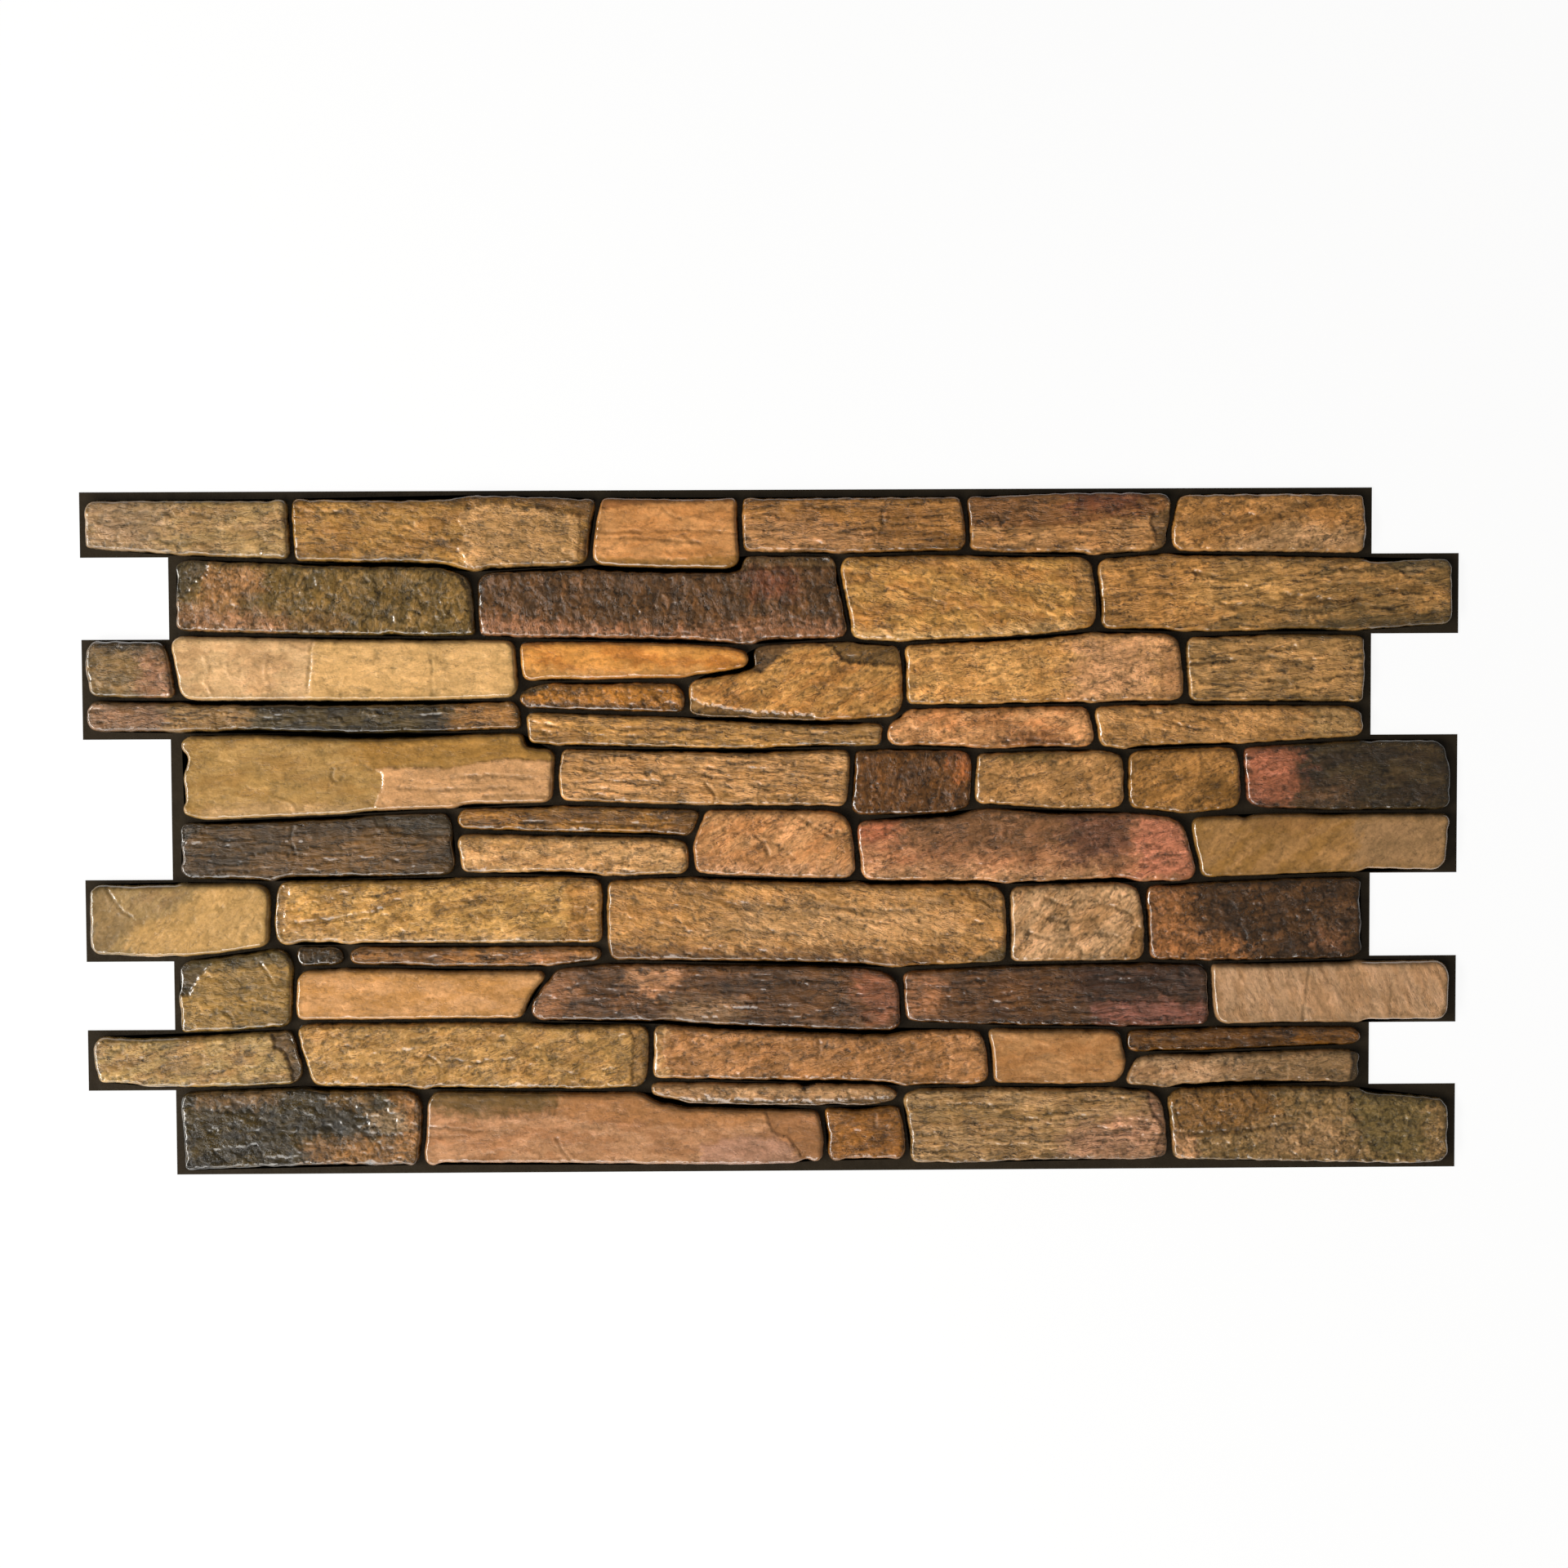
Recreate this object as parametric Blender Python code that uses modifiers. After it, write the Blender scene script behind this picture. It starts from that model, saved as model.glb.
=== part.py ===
"""Interlocking wall panel with moulded stones.

One thin sheet, formed over a mould: a flat flange with stepped ends, out of which 57 stones are
pressed, hollow at the back. It lies with the flange's underside on z = 0, the stones upwards,
its length along X and the courses stacked along Y. Sizes are in metres.
"""

import bpy
import bmesh
import numpy as np

# The sheet and its stepped ends. Each course is set back by TAB_REACH at one end and reaches out
# by as much at the other, so that equal panels lock side by side.
BODY_LENGTH = 0.855
TAB_REACH = 0.0625
COURSE_HEIGHTS = (0.0605, 0.0440, 0.0485, 0.0590, 0.0995, 0.0715, 0.0575, 0.0465)
FIT_GAP = 0.0006
SHEET = 0.0005

# The stones. RELIEF is how far the highest face stands over the flange; a stone's own height is
# a share of it. A wall leans in by WALL_RUN up to the shoulder, then EDGE_RUN rounds it off.
RELIEF = 0.0090
SHOULDER_SHARE = 0.68
WALL_RUN = 0.0010
EDGE_RUN = 0.0017
MOST_TILT = 0.0045
TILT_SEED = 7

# The mould drawing, in its own millimetres, from the lower left corner of the whole panel. These
# lines on it are tied to the sizes above, so every stone follows when one of them is changed.
DRAWN_X = (0.0, 62.5, 917.5, 980.0)
DRAWN_Y = (0.0, 60.5, 104.5, 153.0, 212.0, 311.5, 383.0, 440.5, 487.0)

COLOURS = {
    "flange_black": ((0.010, 0.010, 0.009), 0.25),
    "tan": ((0.330, 0.190, 0.085), 0.45),
    "ochre": ((0.400, 0.205, 0.065), 0.45),
    "cream": ((0.560, 0.380, 0.210), 0.45),
    "pink": ((0.480, 0.250, 0.150), 0.45),
    "dark": ((0.095, 0.060, 0.035), 0.40),
}

# Name, share of RELIEF, colour, and the foot outline on the mould drawing.
STONES = (
    # The top course.
    ("a1", 0.78, "tan", ((5, 447), (60, 443.5), (148, 440.5), (149, 458), (146.5, 480.5), (60, 481),
                         (9, 481), (4.5, 476))),
    ("a2", 0.84, "ochre", ((154, 438), (200, 437), (250, 436), (275, 432.5), (300, 433), (352, 435.5),
                           (360, 440), (362, 465), (366, 479), (345, 482), (280, 484), (262, 481.5),
                           (230, 480.5), (153, 481.5), (150.5, 470), (152, 455))),
    ("a3", 0.84, "pink", ((367, 436.5), (385, 434), (430, 432.5), (460, 431), (466, 435.5),
                          (466.3, 455), (465.5, 481), (420, 480.8), (371, 482), (367, 467),
                          (364, 452), (363.5, 441))),
    ("a4", 0.78, "tan", ((471, 445), (490, 443.3), (560, 442.5), (625, 444.5), (628.5, 449),
                         (627.5, 468), (623.5, 481.5), (560, 481.5), (470.5, 481), (469.3, 463))),
    ("a5", 0.84, "pink", ((632, 444.5), (660, 442), (730, 442), (764, 444), (769.5, 449.5),
                          (773, 467), (771.5, 480.5), (767, 484), (700, 484), (660, 482.3),
                          (629.5, 481), (630.5, 462))),
    ("a6", 0.73, "ochre", ((780, 442.3), (880, 442), (912, 443), (913.5, 455), (911, 482), (850, 483),
                           (784, 482.5), (777, 469), (774, 456))),
    # The second course.
    ("b1", 0.84, "dark", ((71, 390), (120, 388), (160, 386.5), (190, 385), (220, 386), (240, 384),
                          (280, 384.5), (278.5, 400), (277, 416), (270, 427), (257, 433), (190, 434),
                          (110, 436), (76, 438.5), (70, 432), (68, 405))),
    ("b2", 0.67, "dark", ((284, 384.3), (350, 383), (400, 382), (440, 381), (470, 378.3), (490, 382),
                          (539, 382), (543, 387.5), (540.5, 405), (536.5, 420), (534.5, 435.5),
                          (530, 439.8), (472.5, 439), (470.5, 429), (420, 427.5), (350, 429.3),
                          (290, 429), (283.5, 423), (283, 400))),
    ("b3", 0.89, "ochre", ((552, 380.3), (600, 380), (650, 382), (690, 386), (716, 390.5),
                           (720, 397), (719.5, 420), (716, 433), (708, 439), (645, 438),
                           (600, 440), (544, 438.7), (539.5, 432), (542, 415), (547.5, 392),
                           (548, 384))),
    ("b4", 0.73, "ochre", ((727, 388.7), (830, 388), (870, 390), (915, 386), (940, 388),
                           (971, 389.3), (975, 394), (974.5, 432), (970, 436.8), (925, 434.5),
                           (840, 438.5), (780, 439.3), (728, 437), (722.5, 430), (725.5, 405))),
    # The third course.
    ("c1", 0.73, "tan", ((7.5, 344), (30, 342), (66.5, 342.5), (65.5, 352), (63, 368), (58.5, 381),
                         (9, 382), (4.5, 377), (3.2, 361))),
    ("c2", 0.89, "cream", ((81, 339.3), (150, 339.7), (220, 338.3), (303, 340.3), (308, 345),
                           (308.5, 360), (307.5, 376.5), (303, 381.6), (220, 381.5), (120, 383),
                           (68, 384), (64, 380.5), (67, 364), (70, 348), (74.5, 341.5))),
    ("c3", 0.78, "ochre", ((314, 354.5), (400, 354.5), (445, 358.5), (469, 361), (473.5, 365.5),
                           (471.5, 371.5), (461, 375), (420, 378.5), (340, 380), (312, 378.5),
                           (311.5, 367))),
    ("c4", 0.62, "ochre", ((319, 333), (400, 331.5), (427.5, 331.3), (428.3, 342), (423, 346.5),
                           (400, 350), (360, 348), (333, 350), (312, 343), (311.3, 337.5))),
    ("c5", 0.84, "ochre", ((432, 329), (441, 326.3), (505, 323.5), (540, 325), (578, 328),
                           (583.5, 338), (583, 362), (579.5, 374.5), (558, 377), (545, 378.5),
                           (500, 377), (482, 376), (477.5, 370), (481, 360), (460, 355),
                           (433.5, 350), (431.5, 342))),
    ("c6", 0.89, "pink", ((589, 334), (650, 334.8), (720, 336), (776, 337), (782, 342), (782.5, 352),
                          (780, 366), (777, 378), (770, 383.3), (720, 383), (680, 379.5),
                          (600, 377.5), (586, 376), (585, 358), (585.5, 338))),
    ("c7", 0.73, "tan", ((790, 336.8), (850, 336.5), (911, 336), (913, 350), (912.3, 380.5),
                         (850, 381), (797, 377.8), (788, 379), (786.5, 366), (787, 350))),
    ("c8", 0.67, "dark", ((8, 317.5), (95, 317), (110, 319.7), (190, 317.3), (250, 317.3),
                          (311.5, 318.5), (310, 331), (306, 337.5), (250, 336), (160, 335.3),
                          (60, 336.5), (9, 338.5), (4, 334), (3.5, 322))),
    ("c9", 0.67, "tan", ((318, 308), (410, 306), (470, 304.5), (520, 307), (566, 305.5), (568, 313),
                         (569.3, 319.5), (530, 318.5), (500, 320.8), (460, 323), (400, 325.5),
                         (320, 329.5), (315.5, 328.5), (317, 318))),
    ("c10", 0.78, "pink", ((577, 306), (625, 305.5), (650, 302.5), (680, 305), (714, 303.3),
                           (718.5, 308), (717.5, 320), (712, 332.3), (665, 332.3), (640, 331),
                           (589, 331.5), (583.5, 324), (575.5, 320.5), (571.5, 313))),
    ("c11", 0.78, "tan", ((726, 303), (790, 306), (870, 308.3), (905, 310.2), (911, 314),
                          (908, 326), (901, 331.2), (815, 331.5), (740, 332.5), (721, 331),
                          (722, 318))),
    # The fourth course, the highest one.
    ("d1", 0.95, "ochre", ((86, 254), (150, 257.5), (250, 262.5), (280, 265), (330, 267),
                           (334, 280), (335.5, 298.5), (332, 303.3), (314, 305), (312.3, 315),
                           (285, 314.8), (240, 311), (200, 310), (130, 313.5), (76, 314.8),
                           (72, 310.5), (75.5, 298), (71.5, 285), (73.5, 269), (73.5, 260))),
    ("d2", 0.78, "tan", ((342, 269.5), (390, 267), (450, 264), (520, 263.7), (541.5, 264),
                         (545, 280), (545, 301), (480, 299), (400, 300.5), (342.5, 303.3),
                         (338.5, 291), (339, 277))),
    ("d3", 0.67, "dark", ((548, 261), (558, 256.7), (600, 257), (621, 258.5), (629, 263),
                          (631.5, 270), (631.5, 290), (628, 300.3), (600, 301.3), (550, 301),
                          (548.5, 280))),
    ("d4", 0.73, "tan", ((637, 265), (690, 260.5), (736, 262), (740, 266.5), (740.5, 284),
                         (737.5, 296), (731, 300.5), (690, 300), (655, 299.3), (638, 298.5),
                         (635.2, 282), (634, 270))),
    ("d5", 0.73, "tan", ((747, 262), (775, 258), (805, 260), (820, 262.7), (824, 269), (823.5, 287),
                         (820.5, 299), (815, 302.5), (770, 301), (750, 300.3), (745.5, 294),
                         (744, 278))),
    ("d6", 0.67, "dark", ((834, 263.3), (860, 261), (890, 257), (925, 258.3), (969, 258),
                          (973.7, 264), (974.3, 288), (970, 303), (962.5, 307.5), (925, 307.5),
                          (870, 305), (827, 301), (827.5, 282), (829, 269))),
    # The fifth course.
    ("e1", 0.78, "dark", ((77, 212.3), (130, 212.3), (160, 214), (240, 214), (257.5, 215),
                          (262.5, 220), (260.5, 242), (257.5, 257.5), (200, 257), (188, 253.5),
                          (125, 252), (75, 251.5), (69.3, 246), (70, 225), (72, 216.5))),
    ("e2", 0.62, "ochre", ((270, 249), (320, 246), (400, 243.7), (431, 242.5), (434.5, 248),
                           (438, 258.5), (380, 260), (300, 261), (270.5, 261.7), (267, 255.5))),
    ("e3", 0.89, "cream", ((270.5, 217.5), (340, 218.5), (385, 213), (425, 215), (429.5, 219),
                           (430, 231), (426, 237.5), (412, 239.7), (340, 241), (270, 242),
                           (266, 237), (269, 229))),
    ("e4", 0.89, "pink", ((436, 216.3), (460, 213.5), (500, 211.7), (542.5, 211.5), (548, 217),
                          (548.5, 230), (545, 245), (538.5, 254), (530, 257.7), (480, 259),
                          (443.5, 259), (438.5, 248), (433.3, 230))),
    ("e5", 0.78, "pink", ((558, 208.7), (600, 208.5), (680, 207.5), (740, 211), (780, 207.7),
                          (788.5, 210), (792, 216), (787, 233), (780, 246.5), (771.5, 252.7),
                          (700, 254.5), (645, 259), (620, 253), (560, 251), (551.5, 247),
                          (551.7, 232), (555, 215))),
    ("e6", 0.78, "tan", ((797.5, 211.7), (850, 213), (900, 216), (964, 214), (971.5, 220),
                         (973, 240), (971.5, 254.3), (915, 254.5), (875, 254), (830, 251),
                         (792, 250.5), (792.3, 232))),
    # The sixth course.
    ("f1", 0.89, "tan", ((8, 158.7), (50, 156.5), (90, 158.5), (124, 164.3), (129.5, 168.5),
                         (131, 190), (128.8, 205), (123.5, 208.7), (90, 209), (30, 208), (9, 209),
                         (4, 204.5), (3.7, 163))),
    ("f2", 0.84, "ochre", ((141.5, 167.5), (240, 166), (367, 165.7), (368.5, 190), (368, 205.5),
                           (363.5, 210.5), (260, 210.5), (141, 210.5), (138.5, 197), (136, 181),
                           (137.5, 171.5))),
    ("f3", 1.00, "ochre", ((377, 154.5), (420, 153), (500, 152.5), (560, 150), (600, 149),
                           (655, 151.5), (656.5, 175), (655, 192), (651, 201.5), (643, 206),
                           (540, 206), (440, 210), (400, 211), (374, 208.5), (371.3, 190),
                           (373.3, 168))),
    ("f4", 0.89, "pink", ((661, 151), (700, 150.5), (749.5, 151), (754, 157), (755.5, 173),
                          (753, 191), (748, 201.5), (739, 205.7), (700, 205.5), (662, 203.5),
                          (660.3, 185))),
    ("f5", 0.73, "dark", ((761.5, 152), (800, 150.5), (901, 151), (909, 156.5), (911.5, 175),
                          (909, 206.7), (860, 207.3), (800, 204.5), (760, 202.3), (757.7, 192),
                          (759.7, 168))),
    ("f6", 0.50, "dark", ((153.5, 150), (179, 150.8), (184, 156), (178.5, 162.7), (153.5, 163.3),
                          (151.3, 157))),
    ("f7", 0.56, "ochre", ((191, 151), (230, 150.5), (310, 149.3), (350, 151.3), (363, 153),
                           (367.5, 157.5), (363.5, 162.5), (310, 162.3), (230, 162), (197, 163.2),
                           (188.3, 157.5))),
    # The seventh course.
    ("g1", 0.78, "tan", ((67, 102.3), (100, 103.5), (142, 107), (146, 114), (147, 150),
                         (143.5, 157.7), (137, 160), (100, 156.5), (73, 153.7), (67.3, 148),
                         (67.5, 136), (65.5, 126), (67.5, 116))),
    ("g2", 0.89, "cream", ((154, 111), (220, 111), (309, 113), (312.5, 120), (318, 129.5),
                           (328, 141.5), (323.5, 145), (250, 144.5), (220, 147), (158, 146.3),
                           (151, 140.5), (149.7, 115.5))),
    ("g3", 0.73, "dark", ((323, 110.7), (410, 110), (450, 106), (540, 103), (573.5, 102),
                          (580, 107), (580, 127), (575.5, 136.5), (566, 142), (550, 145.5),
                          (480, 147.5), (420, 148.7), (347, 148), (337.5, 145), (328, 136.5),
                          (318.3, 124), (318.5, 115.5))),
    ("g4", 0.67, "dark", ((586, 110.5), (640, 108), (665, 104.7), (760, 103.7), (797, 104.3),
                          (800.5, 109), (800.5, 143), (794, 147), (700, 147.5), (650, 145.5),
                          (586, 142.5), (585.5, 131), (583.7, 125))),
    ("g5", 0.84, "cream", ((813, 105.3), (830, 105.3), (850, 107), (969, 107), (973.7, 112.5),
                           (974.5, 138), (972.5, 146), (967, 149.7), (920, 149), (840, 147),
                           (804, 147.7), (804.5, 130), (807.5, 111))),
    # The lowest courses.
    ("h1", 0.89, "tan", ((9, 67), (30, 66), (45, 63.7), (110, 64), (145, 66.5), (151, 71.5),
                         (153, 78), (149, 95), (145.5, 103.5), (130, 102.5), (100, 100.7),
                         (40, 98.5), (9, 100), (4.5, 94), (6, 78))),
    ("h2", 0.89, "ochre", ((165, 64), (240, 63), (300, 61.3), (360, 61), (395, 65.3), (399.5, 72),
                           (400, 98), (397.5, 105.5), (340, 105.5), (250, 108.3), (156, 108.3),
                           (151.3, 103), (152.5, 92))),
    ("h3", 0.84, "ochre", ((404, 68), (470, 66.7), (525, 66), (590, 63.3), (635, 61.7),
                           (642, 66), (643.5, 80), (640.5, 94), (634, 98.7), (552, 97),
                           (490, 100.7), (450, 102.5), (410, 106.5), (405.5, 101.5),
                           (405.5, 88))),
    ("h4", 0.84, "pink", ((649.5, 64), (700, 62.5), (734, 65), (740, 70), (740.5, 82), (739, 94),
                          (734.5, 100.3), (700, 101), (645, 101), (646, 90))),
    ("h5", 0.56, "ochre", ((745, 86.5), (800, 86), (860, 89), (905, 91.3), (910.5, 95.5),
                           (904, 100), (830, 100.7), (760, 100), (745, 100.3), (743.3, 93))),
    ("h6", 0.78, "pink", ((743, 62), (790, 61), (805, 63.5), (850, 65), (904, 64.3), (909.3, 69.5),
                          (908.5, 82), (890, 84.7), (820, 83.5), (800, 81.7), (768, 82.7),
                          (755, 80), (747, 73.5))),
    ("h7", 0.73, "cream", ((404, 56), (421, 54), (428, 49.7), (460, 49), (520, 48.3), (561, 48.5),
                           (572, 51), (578.5, 55.5), (570, 61), (560, 62.3), (519, 62.7),
                           (512, 60), (506, 62.7), (450, 63.7), (403, 64.5))),
    ("h8", 0.84, "dark", ((69, 3.3), (110, 5), (180, 7), (210, 6), (230.5, 7), (236.3, 12.5),
                          (238, 35), (236, 51), (231.5, 58), (225, 60), (170, 60), (125, 61),
                          (71, 59.7), (66.2, 54), (67.8, 30))),
    ("h9", 0.95, "pink", ((243, 8), (340, 7), (470, 4.7), (506, 5.5), (512, 9), (524.5, 10.3),
                          (526, 25), (520.5, 43.7), (480, 44), (411, 47.3), (399, 54.5),
                          (340, 58), (248.5, 59.3), (244, 46), (240, 15))),
    ("h10", 0.73, "ochre", ((532.5, 9), (560, 8.5), (577.5, 9), (583.3, 14.5), (583, 25),
                            (579, 45.5), (565, 45), (550, 42.5), (527, 46), (529.3, 28),
                            (528.7, 13.5))),
    ("h11", 0.84, "tan", ((591, 6), (630, 5), (680, 7.3), (761, 7), (768, 11), (772, 22),
                          (770.5, 33), (765, 49.5), (758.5, 55.7), (700, 58), (620, 59),
                          (596, 58.7), (589, 55), (583.5, 53), (588.5, 32), (589.7, 15))),
    ("h12", 0.84, "tan", ((781, 7), (860, 5), (930, 3), (969, 3.3), (974.3, 9), (974, 44.5),
                          (969.5, 50.7), (940, 53), (900, 56), (840, 58.3), (781, 58.3),
                          (775.3, 52.5), (775.3, 25))),
)

LENGTH = BODY_LENGTH + 2 * TAB_REACH
COURSE_LINES = np.concatenate([[0.0], np.cumsum(COURSE_HEIGHTS)])
SET_BACK_X = (TAB_REACH, TAB_REACH + BODY_LENGTH)


def real(points):
    """Points of the mould drawing at the sizes above, measured from the middle of the panel."""
    drawn = np.array(points, float)
    x = np.interp(drawn[:, 0], DRAWN_X, (0.0, SET_BACK_X[0], SET_BACK_X[1], LENGTH))
    y = np.interp(drawn[:, 1], DRAWN_Y, COURSE_LINES)
    return np.column_stack([x - LENGTH / 2, y - COURSE_LINES[-1] / 2])


def flange_outline():
    """Up the left end and down the right one, each step cut back from its neighbour by the gap."""
    last = len(COURSE_HEIGHTS) - 1
    half = FIT_GAP / 2
    left, right = [], []
    for course in range(last + 1):
        low, high = COURSE_LINES[course], COURSE_LINES[course + 1]
        for side, reaches_out in ((left, course % 2 == 1), (right, course % 2 == 0)):
            give = half if reaches_out else -half
            bottom = low if course == 0 else low + give
            top = high if course == last else high - give
            if side is left:
                x = half if reaches_out else SET_BACK_X[0]
            else:
                x = LENGTH - half if reaches_out else SET_BACK_X[1]
            side += [(x, bottom), (x, top)]
    points = np.array(right + left[::-1])
    return points - (LENGTH / 2, COURSE_LINES[-1] / 2)


def counter_clockwise(points):
    x, y = points[:, 0], points[:, 1]
    turned = np.dot(x, np.roll(y, -1)) - np.dot(y, np.roll(x, -1))
    return points if turned > 0 else points[::-1]


def material(name):
    colour, roughness = COLOURS[name]
    made = bpy.data.materials.new(name)
    made.use_nodes = True
    shader = made.node_tree.nodes["Principled BSDF"]
    shader.inputs["Base Color"].default_value = (*colour, 1.0)
    shader.inputs["Roughness"].default_value = roughness
    made.diffuse_color = (*colour, 1.0)
    return made


def upper_skin(bm, slots):
    """The flange filled round the stones' feet, then every stone pressed up out of its foot."""
    loops = [flange_outline()] + [real(stone[3]) for stone in STONES]
    edges, feet = [], []
    for loop in loops:
        ring = [bm.verts.new((x, y, SHEET)) for x, y in counter_clockwise(loop)]
        edges += [bm.edges.new((a, b)) for a, b in zip(ring, ring[1:] + ring[:1])]
        feet.append(ring)
    bmesh.ops.triangle_fill(bm, use_beauty=True, normal=(0, 0, 1), edges=edges)
    for face in bm.faces:
        face.material_index = slots.index("flange_black")
        if face.normal.z < 0:
            face.normal_flip()

    random = np.random.default_rng(TILT_SEED)
    for ring, (name, share, colour, outline) in zip(feet[1:], STONES):
        height = share * RELIEF
        stone = bm.faces.new(ring)
        stone.material_index = slots.index(colour)
        bmesh.ops.inset_individual(
            bm, faces=[stone], thickness=WALL_RUN, depth=0.0, use_even_offset=True)
        for vert in stone.verts:
            vert.co.z = SHEET + SHOULDER_SHARE * height
        bmesh.ops.inset_individual(
            bm, faces=[stone], thickness=EDGE_RUN, depth=0.0, use_even_offset=True)
        middle = stone.calc_center_median()
        lean = random.uniform(-MOST_TILT, MOST_TILT, 2)
        reach = max((vert.co - middle).length for vert in stone.verts)
        lean *= min(1.0, 0.0004 / (MOST_TILT * reach))
        for vert in stone.verts:
            away = vert.co - middle
            drop = abs(lean[0]) * reach + abs(lean[1]) * reach
            vert.co.z = SHEET + height - drop + lean[0] * away.x + lean[1] * away.y


def main():
    for old in list(bpy.data.objects):
        bpy.data.objects.remove(old, do_unlink=True)
    collection = bpy.data.collections.new("interlocking_stone_panel")
    bpy.context.scene.collection.children.link(collection)

    slots = list(COLOURS)
    mesh = bpy.data.meshes.new("moulded_sheet")
    for name in slots:
        mesh.materials.append(material(name))
    bm = bmesh.new()
    upper_skin(bm, slots)
    bm.normal_update()
    bm.to_mesh(mesh)
    bm.free()
    sheet = bpy.data.objects.new("moulded_sheet", mesh)
    collection.objects.link(sheet)

    # The sheet's thickness, grown towards the back.
    thick = sheet.modifiers.new("thickness", "SOLIDIFY")
    thick.thickness = SHEET
    thick.offset = -1.0
    thick.use_even_offset = True
    thick.use_rim = True
    graph = bpy.context.evaluated_depsgraph_get()
    solid = bpy.data.meshes.new_from_object(sheet.evaluated_get(graph))
    sheet.modifiers.remove(thick)
    sheet.data = solid
    solid.name = "moulded_sheet_solid"

    # The flange's back is one plane, also where it turns up into a stone.
    for vert in solid.vertices:
        if vert.co.z < SHEET / 2:
            vert.co.z = 0.0


if __name__ == "__main__":
    main()
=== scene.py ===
"""The looks of an interlocking wall panel with moulded stones.

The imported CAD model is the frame: it gives the sheet's outline, the foot of every stone and each
stone's height and tilt. On it this file builds the black flange and 57 printed stones in relief,
in nine pieces by course, with their hollow back, and then the stage. Positions in the stone table
are millimetres from the lower left corner of the whole panel, seen from the front.
"""

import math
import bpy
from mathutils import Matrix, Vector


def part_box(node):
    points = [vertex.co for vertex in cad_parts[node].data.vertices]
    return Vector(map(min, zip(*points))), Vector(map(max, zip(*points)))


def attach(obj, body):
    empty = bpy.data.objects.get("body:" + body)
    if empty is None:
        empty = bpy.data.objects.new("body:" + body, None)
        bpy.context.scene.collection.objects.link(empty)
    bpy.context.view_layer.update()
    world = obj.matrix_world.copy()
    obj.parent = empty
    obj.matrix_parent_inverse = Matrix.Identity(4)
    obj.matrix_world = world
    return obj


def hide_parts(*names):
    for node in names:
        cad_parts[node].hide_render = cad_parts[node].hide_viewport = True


bl_info = {
    "name": "Stone Wall Panel",
    "version": (1, 0, 0),
    "blender": (4, 5, 0),
    "location": "View3D > Sidebar > Stone Panel",
    "description": "Builds a moulded stone wall panel on its CAD frame, and a studio for it",
    "category": "Object",
}

from collections import namedtuple

import bmesh
import bpy
import numpy as np
from mathutils import Vector
from mathutils.geometry import delaunay_2d_cdt
from mathutils.kdtree import KDTree

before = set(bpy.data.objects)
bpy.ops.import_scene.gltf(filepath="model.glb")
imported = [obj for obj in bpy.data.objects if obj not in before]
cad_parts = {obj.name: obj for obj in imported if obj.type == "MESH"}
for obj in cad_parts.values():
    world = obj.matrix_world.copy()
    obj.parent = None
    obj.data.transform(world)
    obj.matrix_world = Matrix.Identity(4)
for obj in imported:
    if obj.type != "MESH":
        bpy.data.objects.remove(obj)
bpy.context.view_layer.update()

NODE = "moulded_sheet"
BODY = "root"
MM = 1000
CAD_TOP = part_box(NODE)[1][2] * MM

# Sizes are millimetres from here to the floor's. CORNER is the panel's lower left corner as the
# frame has it.
CORNER = np.array((-490.0, -243.5))
SHEET_TOP = 0.5

# Points more than PATH_REACH outside a path's box count as FAR from it. BATCH is how many
# distances are worked out at a time.
PATH_REACH = 25
FAR = 99.0
BATCH = 200_000

# A foot moves out by ROOM_SHARE of its joint's width over NARROW_JOINT, and by MOST_ROOM at
# most. It moves less where the next stone is between the two NEIGHBOUR distances away, and not
# at all beyond them. By the sheet's edge it stays up to the first EDGE distance, and is free
# from the second. The moves are averaged over ROOM_BLUR to each side.
NARROW_JOINT = 2.5
ROOM_SHARE = 0.43
MOST_ROOM = 3.2
ROOM_BLUR = 2
NEIGHBOUR = (12.5, 14.9)
EDGE = (4.5, 9.0)
CORNER_CUT = 1.3

# The CAD's points above FACE_SHARE of a stone's height are its face. The plain face lies
# FACE_DROP lower here, which leaves room for the relief, and the skin stays TOP_CLEAR under the
# CAD's top. SHOULDER is the share of the height that the wall takes, and CREST_ROWS are rows of
# points that far in from the wall's top.
FACE_SHARE = 0.82
FACE_DROP = 0.25
TOP_CLEAR = 0.02
SHOULDER = 0.68
CREST_ROWS = (0.6, 1.3, 2.1)

# The hollow back has two rows of points along the foot, then a loose grid. From ROW_ONE inwards
# it stands at LOW_SHARE of the face's height. From ROW_TWO, and from DECK, it lies under the
# lowest skin in reach: the pairs are that reach and the thickness left. Skin nearer to the foot
# than SKIN_FROM doesn't count.
BACK_ROWS = (1.5, 3.3)
BACK_GRID_FROM = 5.2
BACK_GRID_STEP = 3.6
ROW_ONE = 0.5
ROW_TWO = 2.4
DECK = 4.9
LOW_SHARE = 0.22
UNDER_RIM = (1.9, 0.45)
UNDER_FACE = (4.0, 0.35)
SKIN_FROM = 1.3

# On the map for the bake a stone's back has this share of its front's scale, and the gap
# between two stones is a share of the map's width.
BACK_SCALE = 0.3
MAP_GAP = 0.006

# The floor's half width and its depth under the panel, both in metres, and how much of the
# white that the camera sees on it is its own light.
FLOOR_REACH = 6.0
FLOOR_DROP = 0.0004
FLOOR_WHITE = 0.90

# A flange with fewer faces than this wasn't filled.
FEWEST_FLANGE_FACES = 1000


# The stone table

Stone = namedtuple("Stone", "name middle style grain first second marks")


def area(lift, colour, soft, *outline):
    """A patch of a stone's face: raised by lift, printed in its own colour, its edge soft wide."""
    return ("area", lift, colour, soft, outline)


def line(depth, width, *path):
    """A crack, or with a negative depth a ridge, along a path."""
    return ("line", depth, None, width, path)


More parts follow.
